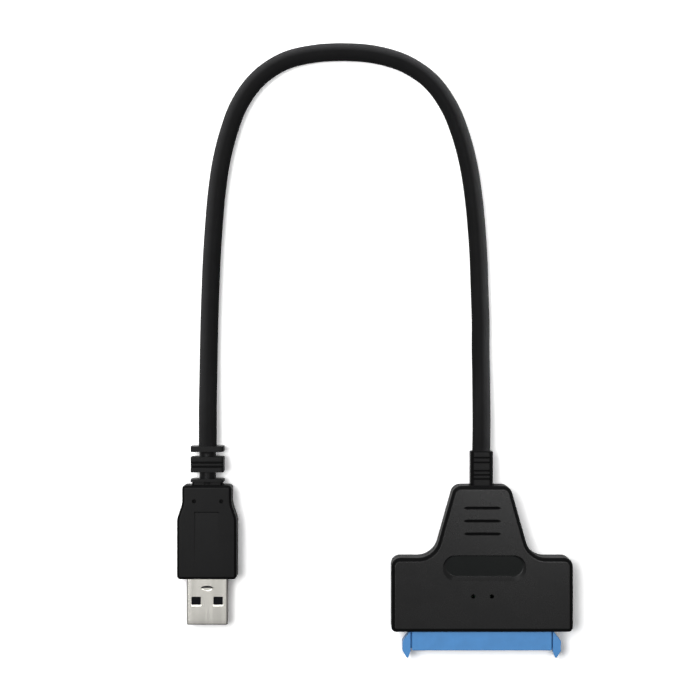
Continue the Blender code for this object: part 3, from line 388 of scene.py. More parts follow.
def housing_block(name, inset, low_z, high_z):
    """The housing's T outline as a solid block, drawn in by a distance all round."""
    slope = (HALF_ROOT - HALF_TIP) / NECK_LENGTH
    lean = inset * math.hypot(1, slope)
    half_root = HALF_ROOT + slope * inset - lean
    half_tip = HALF_TIP + slope * inset - lean
    half_body = HALF_BODY - inset
    front = FRONT_Y + inset
    shoulder = SHOULDER_Y - inset
    tip = TIP_Y - inset
    piece = block(name, (-half_body, front, low_z), (half_body, shoulder, high_z))
    for side in (-1, 1):
        split(piece, (side * half_root, 0, 0), (1, 0, 0))
    pick(piece, "FACE", lambda face: face.normal.y > 0.9 and near(face.calc_center_median().x, 0))
    bpy.ops.mesh.extrude_region_move(TRANSFORM_OT_translate={"value": (0, tip - shoulder, 0)})
    middle = (0, tip, (low_z + high_z) / 2)
    bpy.ops.transform.resize(value=(half_tip / half_root, 1, 1), center_override=middle)
    bpy.ops.mesh.select_all(action="SELECT")
    bpy.ops.mesh.dissolve_limited(angle_limit=0.01)
    done()
    reach = math.tan((math.pi / 2 + math.atan(slope)) / 2)
    round_upright(piece, half_body, front, max(FRONT_RADIUS - inset, LEAST_RADIUS), 6)
    round_upright(piece, half_body, shoulder, max(SHOULDER_RADIUS - inset, LEAST_RADIUS))
    round_upright(piece, half_root, shoulder, (WAIST_RADIUS + inset) / reach, 12)
    round_upright(piece, half_tip, tip, max(TIP_RADIUS - inset, LEAST_RADIUS) / reach)
    return piece


def level(z):
    """Picks the edges that lie in one level plane."""
    return lambda edge: all(near(co.z, z) for co in ends(edge))


def lengthwise(edge):
    """Whether an edge runs along Y."""
    a, b = ends(edge)
    return near(a.x, b.x) and near(a.z, b.z)


def open_ends(cover):
    """Opens the front for the drive connector and the neck's tip for the sleeve."""
    half_x = HALF_CONNECTOR + FIT
    half_z = CONNECTOR_HALF_HEIGHT + FIT
    front = block(
        "front_opening",
        (-half_x, FRONT_Y - OVERRUN, MID_Z - half_z),
        (half_x, FRONT_Y + WALL + OVERRUN, MID_Z + half_z),
    )
    cut(cover, front)
    half_x = SLEEVE_HALF_WIDTH + FIT
    half_z = SLEEVE_HALF_HEIGHT + FIT
    tip = block(
        "tip_opening",
        (-half_x, TIP_Y - WALL - OVERRUN, MID_Z - half_z),
        (half_x, TIP_Y + OVERRUN, MID_Z + half_z),
    )
    round_edges(tip, lengthwise, 1.6 * MM)
    cut(cover, tip)


HALF_CONNECTOR = HALF_BODY - 6.0 * MM
CONNECTOR_HALF_HEIGHT = 2.8 * MM
SLEEVE_HALF_WIDTH = 3.3 * MM
SLEEVE_HALF_HEIGHT = 3.1 * MM
LIP_INSET = 0.9 * MM
LIP_HEIGHT = 0.9 * MM
SEAM_CHAMFER = 0.15 * MM

# The flats carry the mould's grain. The rims, walls and grip grooves are smooth, and take a darker
# black with almost no shine: painted shade.
housing_black = moulded_plastic(
    "housing_black", (0.003, 0.003, 0.0031), 0.27, 5200, 0.01 * MM, 0.14
)
painted_shade_black = moulded_plastic(
    "painted_shade_black", (0.0025, 0.0025, 0.0026), 0.4, 2600, 0.005 * MM, 0.018
)
recess_shade_black = moulded_plastic(
    "recess_shade_black", (0.0036, 0.0044, 0.0042), 0.3, 2600, 0.005 * MM, 0.055
)
FLAT = math.cos(math.radians(10))


def flats_and_shaded_rims(piece, flat, rim):
    """Level faces get one material; rims and walls round them a darker one, as painted shade."""
    piece.data.materials.append(flat)
    piece.data.materials.append(rim)
    for face in piece.data.polygons:
        face.material_index = 0 if abs(face.normal.z) > FLAT else 1


top_seam = cover_low.z
top_cover = housing_block("top_cover", 0, top_seam, TOP_Z)
round_edges(top_cover, level(TOP_Z), RIM_RADIUS, 8)
round_edges(top_cover, level(top_seam), SEAM_CHAMFER, 2)
# The top cover's rims and walls are darkened with painted shade.
flats_and_shaded_rims(top_cover, housing_black, painted_shade_black)
cut(top_cover, housing_block("cavity", WALL, top_seam - OVERRUN, TOP_Z - WALL))
rebate_top = MID_Z + LIP_HEIGHT + FIT
cut(top_cover, housing_block("rebate", LIP_INSET - FIT, top_seam - OVERRUN, rebate_top))
open_ends(top_cover)

# The oval recess is bare. Its wall is steep on the neck's side and slopes gently on the other.
# Its floor takes a less shiny black that renders darker: painted shade.
RECESS_X = 0.6 * MM
RECESS_TOP = SHOULDER_Y + 0.8 * MM
RECESS_WIDTH = 7.5 * MM
HALF_RECESS = 12.1 * MM
RECESS_DEPTH = 0.7 * MM
FLOOR_WIDTH = 6.1 * MM
HALF_FLOOR = 11.3 * MM
STEEP_SIDE = 0.8 * MM
recess = block(
    "recess",
    (-HALF_RECESS, RECESS_TOP - RECESS_WIDTH, TOP_Z - RECESS_DEPTH),
    (HALF_RECESS, RECESS_TOP, TOP_Z),
)
for y in (RECESS_TOP, RECESS_TOP - RECESS_WIDTH):
    round_upright(recess, HALF_RECESS, y, RECESS_WIDTH / 2 - 0.05 * MM, 12)
pick(recess, "FACE", lambda face: face.normal.z < -0.9)
bpy.ops.transform.resize(
    value=(HALF_FLOOR / HALF_RECESS, FLOOR_WIDTH / RECESS_WIDTH, 1),
    center_override=(0, RECESS_TOP - STEEP_SIDE, TOP_Z - RECESS_DEPTH),
)
done()
pick(recess, "FACE", lambda face: face.normal.z > 0.9)
bpy.ops.mesh.extrude_region_move(TRANSFORM_OT_translate={"value": (0, 0, OVERRUN)})
bpy.ops.mesh.select_all(action="SELECT")
bpy.ops.transform.translate(value=(RECESS_X, 0, 0))
done()
recess.data.materials.append(housing_black)
recess.data.materials.append(recess_shade_black)
for face in recess.data.polygons:
    face.material_index = 1 if face.normal.z < -0.9 else 0
round_edges(recess, level(TOP_Z - RECESS_DEPTH), 0.25 * MM, 3)
cut(top_cover, recess)

LAMP_Y = FRONT_Y + 10.5 * MM
LAMP_SPACING = 5.4 * MM
LAMP_HOLE = 1.3 * MM
for side in (-1, 1):
    centre = (side * LAMP_SPACING / 2, LAMP_Y, TOP_Z)
    hole = drum("lamp_hole", centre, LAMP_HOLE / 2, 6 * MM, 24)
    # The hole's walls take the darker black: painted shade.
    hole.data.materials.append(painted_shade_black)
    cut(top_cover, hole)

GRIP_LENGTH = 10.7 * MM
GRIP_WIDTH = 0.85 * MM
GRIP_TAPER = 0.8 * MM
GRIP_START = 6.4 * MM
GRIP_PITCH = 3.75 * MM
for i in range(3):
    grip_y = TIP_Y - GRIP_START - i * GRIP_PITCH
    straight = GRIP_LENGTH - 2 * GRIP_TAPER
    groove = drum("grip", (0, grip_y, TOP_Z), GRIP_WIDTH / 2, straight, 16, "X")
    # The groove's faces take the darker black: painted shade.
    groove.data.materials.append(painted_shade_black)
    for side in (-1, 1):
        pick(groove, "FACE", lambda face: face.normal.x * side > 0.9)
        taper = (side * GRIP_TAPER, 0, 0)
        bpy.ops.mesh.extrude_region_move(TRANSFORM_OT_translate={"value": taper})
        point = (side * GRIP_LENGTH / 2, grip_y, TOP_Z)
        bpy.ops.transform.resize(value=(1, 0.25, 0.25), center_override=point)
        done()
    cut(top_cover, groove)

dress(top_cover, housing_black, ["head_top_cover"], 22)

bottom_seam = under_high.z - LIP_HEIGHT - FIT / 2
bottom_cover = housing_block("bottom_cover", 0, 0, bottom_seam)
round_edges(bottom_cover, level(0), RIM_RADIUS, 8)
round_edges(bottom_cover, level(bottom_seam), SEAM_CHAMFER, 2)
# The bottom cover's rims and walls are darkened with painted shade.
flats_and_shaded_rims(bottom_cover, housing_black, painted_shade_black)
weld(bottom_cover, housing_block("lip", LIP_INSET, bottom_seam - OVERRUN, MID_Z + LIP_HEIGHT))
cut(bottom_cover, housing_block("cavity", WALL, WALL, MID_Z + LIP_HEIGHT + OVERRUN))
board_low, board_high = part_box("circuit_board")
POST_RADIUS = 1.3 * MM
POST_INSET = 3.0 * MM
post_foot = WALL / 2
post_top = board_low.z - FIT
for x in (board_low.x + POST_INSET, board_high.x - POST_INSET):
    for y in (board_low.y + POST_INSET, SHOULDER_Y - 5.8 * MM):
        centre = (x, y, (post_top + post_foot) / 2)
        weld(bottom_cover, drum("post", centre, POST_RADIUS, post_top - post_foot))
open_ends(bottom_cover)
dress(bottom_cover, housing_black, ["head_bottom_cover"], 22)

# Sleeve. A soft rounded-square grommet moulded on to the lead. Its flange sits behind the neck's
# wall, and slots across its wide faces let it bend.
SLEEVE_START_Y = sleeve_low.y + FIT
SLEEVE_RADIUS = 1.3 * MM
SLOT_OFFSETS = (1.8, 3.2, 5.6, 6.8, 8.0)
BEND_SLOT_HALF = 2.45 * MM
BEND_SLOT_WIDTH = 0.52 * MM
BEND_SLOT_DEPTH = 0.8 * MM
soft_black = moulded_plastic(
    "moulding_black", (0.004, 0.004, 0.0042), 0.34, 3600, 0.012 * MM, 0.055
)
sleeve = block(
    "sleeve",
    (-SLEEVE_HALF_WIDTH, SLEEVE_START_Y, sleeve_low.z),
    (SLEEVE_HALF_WIDTH, sleeve_high.y, sleeve_high.z),
)
round_edges(sleeve, lengthwise, SLEEVE_RADIUS, 8)
round_edges(
    sleeve, lambda edge: all(near(co.y, sleeve_high.y) for co in ends(edge)), 0.3 * MM, 4
)
# The sleeve's rounded sides take the darker black: painted shade.
flats_and_shaded_rims(sleeve, soft_black, painted_shade_black)
slots = []
for offset in SLOT_OFFSETS:
    slot_y = sleeve_high.y - offset * MM
    for z in (sleeve_low.z, sleeve_high.z):
        slots.append(block(
            "sleeve_slot",
            (-BEND_SLOT_HALF, slot_y - BEND_SLOT_WIDTH / 2, z - BEND_SLOT_DEPTH),
            (BEND_SLOT_HALF, slot_y + BEND_SLOT_WIDTH / 2, z + BEND_SLOT_DEPTH),
        ))
slots = join_all("sleeve_slots", slots)
# The slots are darkened with painted shade.
slots.data.materials.append(painted_shade_black)
cut(sleeve, slots)
flange = block(
    "sleeve_flange",
    (-5.0 * MM, sleeve_low.y, WALL + FIT),
    (5.0 * MM, SLEEVE_START_Y + 1.6 * MM, TOP_Z - WALL - FIT),
)
weld(sleeve, flange)
dress(sleeve, soft_black, ["head_strain_relief"])

# Drive connector. One blue nylon moulding: a block with two L-shaped slots for the drive's
# tongues, a flange that the housing's front wall holds, and a guide arm on each side that finds the
# drive first.
MATING_Y = FRONT_Y - 5.6 * MM
CONNECTOR_BACK_Y = FRONT_Y + 6.5 * MM
HALF_SPAN = HALF_CONNECTOR - 3.7 * MM
connector_low, connector_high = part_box("sata_connector_body")
CHANNEL_FLOOR_Z = board_high.z
SLOT_FLOOR_Z = CHANNEL_FLOOR_Z + 1.0 * MM
SLOT_HEIGHT = 1.61 * MM
SLOT_DEPTH = 6.6 * MM
SLOT_SLACK = 0.18 * MM
SIGNAL_TONGUE = 10.4 * MM
POWER_TONGUE = 20.56 * MM
KEY_WIDTH = 1.56 * MM
KEY_DEPTH = 1.6 * MM
FLANGE_REACH = 0.9 * MM
FLANGE_SETBACK = 0.35 * MM
FLANGE_THICKNESS = 1.4 * MM
connector = block(
    "drive_connector",
    (-HALF_CONNECTOR, MATING_Y, connector_low.z),
    (HALF_CONNECTOR, CONNECTOR_BACK_Y, connector_high.z),
)
round_edges(connector, lambda edge: True, 0.35 * MM, 4)
flange = block(
    "connector_flange",
    (-HALF_CONNECTOR - FLANGE_REACH, FRONT_Y + WALL + FIT, connector_low.z + FLANGE_SETBACK),
    (
        HALF_CONNECTOR + FLANGE_REACH,
        FRONT_Y + WALL + FIT + FLANGE_THICKNESS,
        connector_high.z - FLANGE_SETBACK,
    ),
)
weld(connector, flange)

# Each guide arm is thin at its root, full in the middle and pointed at its tip. A web joins it to
# the block.
ARM_HALF_HEIGHT = 2.2 * MM
ARM_TIP_Y = connector_low.y
ARM_ROOT_Y = FRONT_Y - FIT
ARM_INSIDE = HALF_CONNECTOR + 0.35 * MM
ARM_OUTSIDE = connector_high.x
ARM_POINT = 2.0 * MM
ARM_SHOULDER = 2.9 * MM
ARM_ROOT_WIDTH = 0.35 * MM
ARM_TIP_WIDTH = 1.1 * MM
ARM_LEAD_IN = 0.7 * MM
for side in (-1, 1):
    arm = block(
        "guide_arm",
        (ARM_INSIDE, ARM_TIP_Y, MID_Z - ARM_HALF_HEIGHT),
        (ARM_OUTSIDE, ARM_ROOT_Y, MID_Z + ARM_HALF_HEIGHT),
    )
    for y in (ARM_TIP_Y + ARM_POINT, FRONT_Y - ARM_SHOULDER):
        split(arm, (0, y, 0), (0, 1, 0))
    for y, x, move in (
        (ARM_ROOT_Y, ARM_OUTSIDE, ARM_INSIDE + ARM_ROOT_WIDTH - ARM_OUTSIDE),
        (ARM_TIP_Y, ARM_OUTSIDE, ARM_INSIDE + ARM_TIP_WIDTH - ARM_OUTSIDE),
        (ARM_TIP_Y, ARM_INSIDE, ARM_LEAD_IN),
    ):
        shift(arm, lambda vert: near(vert.co.y, y) and near(vert.co.x, x), (move, 0, 0))
    round_edges(arm, lambda edge: edge.calc_face_angle(0) > 0.2, 0.12 * MM, 3)
    web = block(
        "arm_web",
        (HALF_CONNECTOR - 0.7 * MM, MATING_Y + 0.5 * MM, MID_Z - 1.2 * MM),
        (ARM_INSIDE + 0.6 * MM, ARM_ROOT_Y, MID_Z + 1.2 * MM),
    )
    weld(arm, web)
    if side < 0:
        alone(arm)
        bpy.ops.transform.mirror(constraint_axis=(True, False, False), center_override=(0, 0, 0))
        bpy.ops.object.transform_apply(location=True, rotation=True, scale=True)
        pick_all(arm)
        bpy.ops.mesh.normals_make_consistent(inside=False)
        done()
    weld(connector, arm)


def tongue_slot(name, outer, inner):
    """One L-shaped slot: a flat with its key at the inner end."""
    side = 1 if inner > outer else -1
    mouth = MATING_Y - OVERRUN
    end = MATING_Y + SLOT_DEPTH
    left, right = sorted((outer, inner))
    flat = block(name, (left, mouth, SLOT_FLOOR_Z), (right, end, SLOT_FLOOR_Z + SLOT_HEIGHT))
    left, right = sorted((inner - side * KEY_WIDTH, inner))
    key = block(
        "key",
        (left, mouth, SLOT_FLOOR_Z - KEY_DEPTH),
        (right, end, SLOT_FLOOR_Z + SLOT_HEIGHT / 2),
    )
    weld(flat, key)
    return flat


SIGNAL_INNER = -HALF_SPAN + SIGNAL_TONGUE + SLOT_SLACK
POWER_INNER = HALF_SPAN - POWER_TONGUE - SLOT_SLACK
cut(connector, tongue_slot("signal_slot", -HALF_SPAN - SLOT_SLACK, SIGNAL_INNER))
cut(connector, tongue_slot("power_slot", HALF_SPAN + SLOT_SLACK, POWER_INNER))
CONTACT_ROOM = 0.15 * MM
contacts = [
    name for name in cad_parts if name.startswith(("signal_contact", "power_contact"))
]
channels = []
for name in contacts:
    low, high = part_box(name)
    channels.append(block(
        "channel",
        (low.x - CONTACT_ROOM, MATING_Y + 0.85 * MM, CHANNEL_FLOOR_Z),
        (high.x + CONTACT_ROOM, CONNECTOR_BACK_Y + OVERRUN, SLOT_FLOOR_Z + 0.09 * MM),
    ))
cut(connector, join_all("channels", channels))
connector_blue = moulded_plastic(
    "connector_blue", (0.047, 0.2, 0.463), 0.36, 3000, 0.015 * MM, 0.4
)
dress(connector, connector_blue, ["sata_connector_body"])


def plated_metal(name, colour, roughness, streak):
    """Stamped sheet metal under a thin plating, with faint streaks along the rolling direction."""
    material = bpy.data.materials.new(name)
    material.use_nodes = True
    material.diffuse_color = (*colour, 1.0)
    nodes = material.node_tree.nodes
    links = material.node_tree.links
    shader = nodes["Principled BSDF"]
    shader.inputs["Metallic"].default_value = 1.0
    place = nodes.new("ShaderNodeTexCoord")
    stretch = nodes.new("ShaderNodeMapping")
    stretch.inputs["Scale"].default_value = streak
    rolled = nodes.new("ShaderNodeTexNoise")
    rolled.inputs["Scale"].default_value = 900
    rolled.inputs["Detail"].default_value = 5
    links.new(place.outputs["Object"], stretch.inputs["Vector"])
    links.new(stretch.outputs["Vector"], rolled.inputs["Vector"])
    tint = nodes.new("ShaderNodeValToRGB")
    tint.color_ramp.elements[0].position = 0.25
    tint.color_ramp.elements[0].color = (*[c * 0.9 for c in colour], 1.0)
    tint.color_ramp.elements[1].position = 0.75
    tint.color_ramp.elements[1].color = (*[min(c * 1.06, 1) for c in colour], 1.0)
    links.new(rolled.outputs["Fac"], tint.inputs["Fac"])
    links.new(tint.outputs["Color"], shader.inputs["Base Color"])
    gloss = nodes.new("ShaderNodeMapRange")
    gloss.inputs["To Min"].default_value = roughness * 0.75
    gloss.inputs["To Max"].default_value = roughness * 1.25
    links.new(rolled.outputs["Fac"], gloss.inputs["Value"])
    links.new(gloss.outputs["Result"], shader.inputs["Roughness"])
    relief = nodes.new("ShaderNodeBump")
    relief.inputs["Strength"].default_value = 0.12
    relief.inputs["Distance"].default_value = 0.01 * MM
    links.new(rolled.outputs["Fac"], relief.inputs["Height"])
    links.new(relief.outputs["Normal"], shader.inputs["Normal"])
    return material


def repaint(names, material):
    """Gives CAD nodes whose shape is right their finish."""
    for name in names:
        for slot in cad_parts[name].material_slots:
            slot.material = material


# Drive contacts. Stamped phosphor bronze springs with gold on the part that touches. They are
# pressed into the connector from behind, and their tails lie on the board.
contact_gold = plated_metal("contact_gold", (0.86, 0.66, 0.3), 0.28, (1, 0.15, 1))
repaint(contacts, contact_gold)

# Board. Glass-fibre laminate under green lacquer. It carries the bridge chip, its crystal and
# memory, the supply parts and the two lamps, all soldered flat to its upper face.
board_green = moulded_plastic("board_green", (0.015, 0.15, 0.06), 0.3, 1400, 0.03 * MM, 0.5, 0.4)
repaint(["circuit_board"], board_green)
chip_black = moulded_plastic("chip_black", (0.028, 0.028, 0.03), 0.55, 2600, 0.03 * MM)
repaint(["bridge_chip", "memory_chip", "voltage_regulator"], chip_black)
repaint(["crystal"], plated_metal("can_steel", (0.72, 0.72, 0.7), 0.3, (0.2, 1, 1)))
ferrite = moulded_plastic("ferrite_grey", (0.16, 0.16, 0.17), 0.6, 1800, 0.04 * MM)
repaint(["power_inductor"], ferrite)
ceramic = moulded_plastic("ceramic_tan", (0.55, 0.42, 0.28), 0.45, 1800, 0.02 * MM)
repaint(["input_capacitor", "output_capacitor"], ceramic)
# The lamps' lenses are near black so that the lamp holes render dark: painted shade.
lens = moulded_plastic("painted_shade_lens", (0.05, 0.052, 0.05), 0.3, 1200, 0.01 * MM, 0.2)
repaint(["power_lamp", "activity_lamp"], lens)

# Conductors. Stranded copper in thin coloured insulation. They fan out from the sleeve to their
# pads on the board.
wire_colours = {
    "wire_supply": (0.55, 0.03, 0.03),
    "wire_data_minus": (0.8, 0.8, 0.78),
    "wire_data_plus": (0.05, 0.3, 0.08),
    "wire_ground": (0.03, 0.03, 0.03),
    "wire_pair_send": (0.04, 0.1, 0.45),
    "wire_pair_receive": (0.7, 0.5, 0.05),
}
for name, colour in wire_colours.items():
    repaint([name], moulded_plastic(name + "_plastic", colour, 0.4, 2600, 0.01 * MM))

# Plug moulding. One shot of soft black PVC over the plug's inside and the lead's end: a flat grip
# with a bare thumb panel, a narrower neck with two ejector-pin marks, and a ribbed strain relief.
PLUG_Y = moulding_low.y
HALF_GRIP = moulding_high.x - PLUG_X
HALF_NECK = HALF_GRIP - 1.5 * MM
GRIP_END = PLUG_Y + 17.6 * MM
FLARE_END = GRIP_END + 4.4 * MM
NECK_END = FLARE_END + 5.4 * MM
moulding = block(
    "plug_moulding",
    (moulding_low.x, PLUG_Y, moulding_low.z),
    (moulding_high.x, GRIP_END, moulding_high.z),
)
for start, end, share in ((GRIP_END, FLARE_END, HALF_NECK / HALF_GRIP), (FLARE_END, NECK_END, 1)):
    pick(moulding, "FACE", lambda face: face.normal.y > 0.9)
    bpy.ops.mesh.extrude_region_move(TRANSFORM_OT_translate={"value": (0, end - start, 0)})
    bpy.ops.transform.resize(value=(share, 1, 1), center_override=(PLUG_X, end, PLUG_Z))
    done()


def round_plug(y, half, radius):
    """Rounds the upright edges of the plug's outline at one distance along it."""

    def wanted(edge):
        place = ends(edge)[0]
        return upright(edge) and near(abs(place.x - PLUG_X), half) and near(place.y, y)

    round_edges(moulding, wanted, radius)


round_plug(PLUG_Y, HALF_GRIP, 1.0 * MM)
round_plug(GRIP_END, HALF_GRIP, 0.9 * MM)
round_plug(FLARE_END, HALF_NECK, 0.9 * MM)
round_plug(NECK_END, HALF_NECK, 1.0 * MM)
pick_all(moulding)
bpy.ops.mesh.dissolve_limited(angle_limit=0.01)
done()
for z in (moulding_low.z, moulding_high.z):
    round_edges(moulding, level(z), 0.95 * MM, 6)
# The plug's rims and walls are darkened with painted shade.
flats_and_shaded_rims(moulding, soft_black, painted_shade_black)

# Its strain relief is a round core with an end plate, a wide plate with two grooves, and a flange.
# The core shows between them.
RELIEF_END = moulding_high.y
HALF_RELIEF = 4.8 * MM
HALF_RIB = 3.0 * MM
CORE_RADIUS = 2.45 * MM
FLANGE = NECK_END + 0.85 * MM
NOTCH_1 = NECK_END + 2.1 * MM
MIDDLE_PLATE = NOTCH_1 + 1.6 * MM
NOTCH_2 = MIDDLE_PLATE + 4.5 * MM
END_PLATE = NOTCH_2 + 1.45 * MM
PLATE_RADIUS = 0.6 * MM
FLANGE_SLANT = 0.35 * MM
core_middle = (PLUG_X, (NECK_END + RELIEF_END) / 2 - 1 * MM, PLUG_Z)
core_length = RELIEF_END - NECK_END + 1.9 * MM
relief = drum("relief", core_middle, CORE_RADIUS, core_length, 48, "Y")
for start, end, half_x, half_z in (
    (NECK_END - 1.6 * MM, FLANGE + 0.3 * MM, HALF_RELIEF - 0.35 * MM, HALF_RIB - 0.75 * MM),
    (FLANGE, NOTCH_1, HALF_RELIEF, HALF_RIB),
    (MIDDLE_PLATE, NOTCH_2, HALF_RELIEF, HALF_RIB),
    (END_PLATE, RELIEF_END, HALF_RELIEF, HALF_RIB),
):
    plate = block(
        "plate",
        (PLUG_X - half_x, start, PLUG_Z - half_z),
        (PLUG_X + half_x, end, PLUG_Z + half_z),
    )
    round_edges(plate, lengthwise, PLATE_RADIUS, 5)
    if near(start, FLANGE):
        shift(
            plate,
            lambda vert: near(vert.co.y, NOTCH_1) and abs(vert.co.x - PLUG_X) > 3 * MM,
            (0, -FLANGE_SLANT, 0),
        )
    weld(relief, plate)

# Two grooves across the wide plate let the lead bend by the plug. The sunk faces are smooth, and
# are darkened with painted shade.
GROOVE_WIDTH = 0.6 * MM
GROOVE_DEPTH = 0.8 * MM
openings = []
for y in (MIDDLE_PLATE + 1.65 * MM, MIDDLE_PLATE + 2.85 * MM):
    for side in (-1, 1):
        low, high = sorted((side * (HALF_RIB - GROOVE_DEPTH), side * (HALF_RIB + OVERRUN)))
        openings.append(block(
            "groove",
            (PLUG_X - 6 * MM, y - GROOVE_WIDTH / 2, PLUG_Z + low),
            (PLUG_X + 6 * MM, y + GROOVE_WIDTH / 2, PLUG_Z + high),
        ))
cut(relief, join_all("relief_openings", openings))
soften(relief, 0.14 * MM, 40)
relief.data.materials.clear()
relief.data.materials.append(soft_black)
relief.data.materials.append(painted_shade_black)
for face in relief.data.polygons:
    sunk = abs(face.center.z - PLUG_Z) < HALF_RIB - 0.3 * MM
    beside = abs(face.center.x - PLUG_X) > CORE_RADIUS
    groove = MIDDLE_PLATE < face.center.y < NOTCH_2
    face.material_index = 1 if sunk and (beside or groove) else 0
weld(moulding, relief)

# The shell's root sits in a pocket. The thumb panel slopes down to a step at its upper end.
SHELL_HALF = 6.0 * MM
SHELL_HALF_HEIGHT = 2.25 * MM
POCKET_ROOM = 0.2 * MM
POCKET_DEPTH = 7.3 * MM
MARK_SHIFT = 0.3 * MM
MARK_OFFSET = 3.95 * MM
MARK_RADIUS = 0.6 * MM
THUMB_HALF = 3.5 * MM
THUMB_END = PLUG_Y + 19.5 * MM
THUMB_DROP = 0.4 * MM
pocket_x = SHELL_HALF + POCKET_ROOM
pocket_z = SHELL_HALF_HEIGHT + POCKET_ROOM
pocket = block(
    "pocket",
    (PLUG_X - pocket_x, PLUG_Y - OVERRUN, PLUG_Z - pocket_z),
    (PLUG_X + pocket_x, PLUG_Y + POCKET_DEPTH, PLUG_Z + pocket_z),
)
round_edges(pocket, lengthwise, 0.85 * MM, 5)
cut(moulding, pocket)
for side in (-1, 1):
    mark_x = PLUG_X + MARK_SHIFT + side * MARK_OFFSET
    centre = (mark_x, FLARE_END + 0.8 * MM, moulding_high.z)
    mark = drum("pin_mark", centre, MARK_RADIUS, 1.6 * MM, 24)
    # The mark's faces take the darker black: painted shade.
    mark.data.materials.append(painted_shade_black)
    cut(moulding, mark)
thumb = block(
    "thumb_panel",
    (PLUG_X - THUMB_HALF, PLUG_Y + 3.4 * MM, moulding_high.z),
    (PLUG_X + THUMB_HALF, THUMB_END, moulding_high.z + OVERRUN),
)
shift(
    thumb,
    lambda vert: near(vert.co.z, moulding_high.z) and vert.co.y > GRIP_END,
    (0, 0, -THUMB_DROP),
)
cut(moulding, thumb)
centre = (PLUG_X, THUMB_END, moulding_high.z)
# A thin groove marks the step, darkened with painted shade.
panel_line = drum("panel_line", centre, 0.22 * MM, 7.2 * MM, 16, "X")
panel_line.data.materials.append(painted_shade_black)
cut(moulding, panel_line)
dress(moulding, soft_black, ["usb_overmould"])

# Plug shell. Thin steel strip folded into a flat tube and nickel plated. Two square windows in
# each wide face catch the socket's springs. A punched lug by the moulding leaves an arched slit.
shell_low, shell_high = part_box("usb_shell")
SHELL_TIP = shell_low.y
SHELL_ROOT = shell_high.y
SHELL_WALL = 0.3 * MM
FOLD_RADIUS = 0.65 * MM
TAPER_LENGTH = 1.3 * MM
shell = block(
    "plug_shell",
    (PLUG_X - SHELL_HALF, SHELL_TIP, PLUG_Z - SHELL_HALF_HEIGHT),
    (PLUG_X + SHELL_HALF, SHELL_ROOT, PLUG_Z + SHELL_HALF_HEIGHT),
)
round_edges(shell, lengthwise, FOLD_RADIUS, 6)
pick(shell, "FACE", lambda face: abs(face.normal.y) > 0.9)
bpy.ops.mesh.delete(type="FACE")
done()
split(shell, (0, SHELL_TIP + TAPER_LENGTH, 0), (0, 1, 0))
pick(shell, "VERT", lambda vert: near(vert.co.y, SHELL_TIP))
mouth = (PLUG_X, SHELL_TIP, PLUG_Z)
bpy.ops.transform.resize(value=(0.985, 1, 0.95), center_override=mouth)
done()
wall = shell.modifiers.new("wall", "SOLIDIFY")
wall.thickness = SHELL_WALL
wall.offset = -1
wall.use_even_offset = True
alone(shell)
bpy.ops.object.modifier_apply(modifier=wall.name)
WINDOW_OFFSET = 3.2 * MM
HALF_WINDOW = 1.37 * MM
WINDOW_START = PLUG_Y - 5.2 * MM
WINDOW_END = WINDOW_START - 2.45 * MM
windows = []
for side in (-1, 1):
    x = PLUG_X + side * WINDOW_OFFSET
    windows.append(block(
        "window",
        (x - HALF_WINDOW, WINDOW_END, PLUG_Z - 4 * MM),
        (x + HALF_WINDOW, WINDOW_START, PLUG_Z + 4 * MM),
    ))
for window in windows:
    round_edges(window, upright, 0.15 * MM, 3)
cut(shell, join_all("windows", windows))

# The windows' front edges are coined down to a short slope.
HALF_COIN = 1.45 * MM
COIN_LENGTH = 0.5 * MM
COIN_DEPTH = 0.2 * MM
coins = []
for side in (-1, 1):
    for face in (-1, 1):
        x = PLUG_X + side * WINDOW_OFFSET
        skin = PLUG_Z + face * SHELL_HALF_HEIGHT
        sunk = skin - face * COIN_DEPTH
        low, high = sorted((sunk, skin + face * OVERRUN))
        coin = block(
            "window_rim",
            (x - HALF_COIN, WINDOW_END - COIN_LENGTH, low),
            (x + HALF_COIN, WINDOW_END + 0.2 * MM, high),
        )
        shift(
            coin,
            lambda vert: near(vert.co.z, sunk) and vert.co.y < WINDOW_END,
            (0, 0, face * COIN_DEPTH),
        )
        coins.append(coin)
cut(shell, join_all("window_rims", coins))


def arched_cut(name, depth, core_y, core_radius, core_sides, size, back):
    """Cuts an arch into the shell's upper face: a disc less the part that a second disc covers."""
    arch = drum(name, (0, 0, 0), 1.0, depth, 48)
    cut(arch, drum(name + "_core", (0, core_y, 0), core_radius, 4 * MM, core_sides))
    pick_all(arch)
    bpy.ops.transform.resize(value=(*size, 1), center_override=(0, 0, 0))
    bpy.ops.transform.translate(value=(PLUG_X, PLUG_Y - back, PLUG_Z + SHELL_HALF_HEIGHT))
    done()
    cut(shell, arch)


arched_cut("slit", 1.6 * MM, -2.35, 2.5, 96, (1.8 * MM, 0.72 * MM), 2.72 * MM)
arched_cut("crease", 0.36 * MM, 0.25, 1.0, 48, (1.45 * MM, 0.75 * MM), 2.8 * MM)
soften(shell, 0.09 * MM, 50)

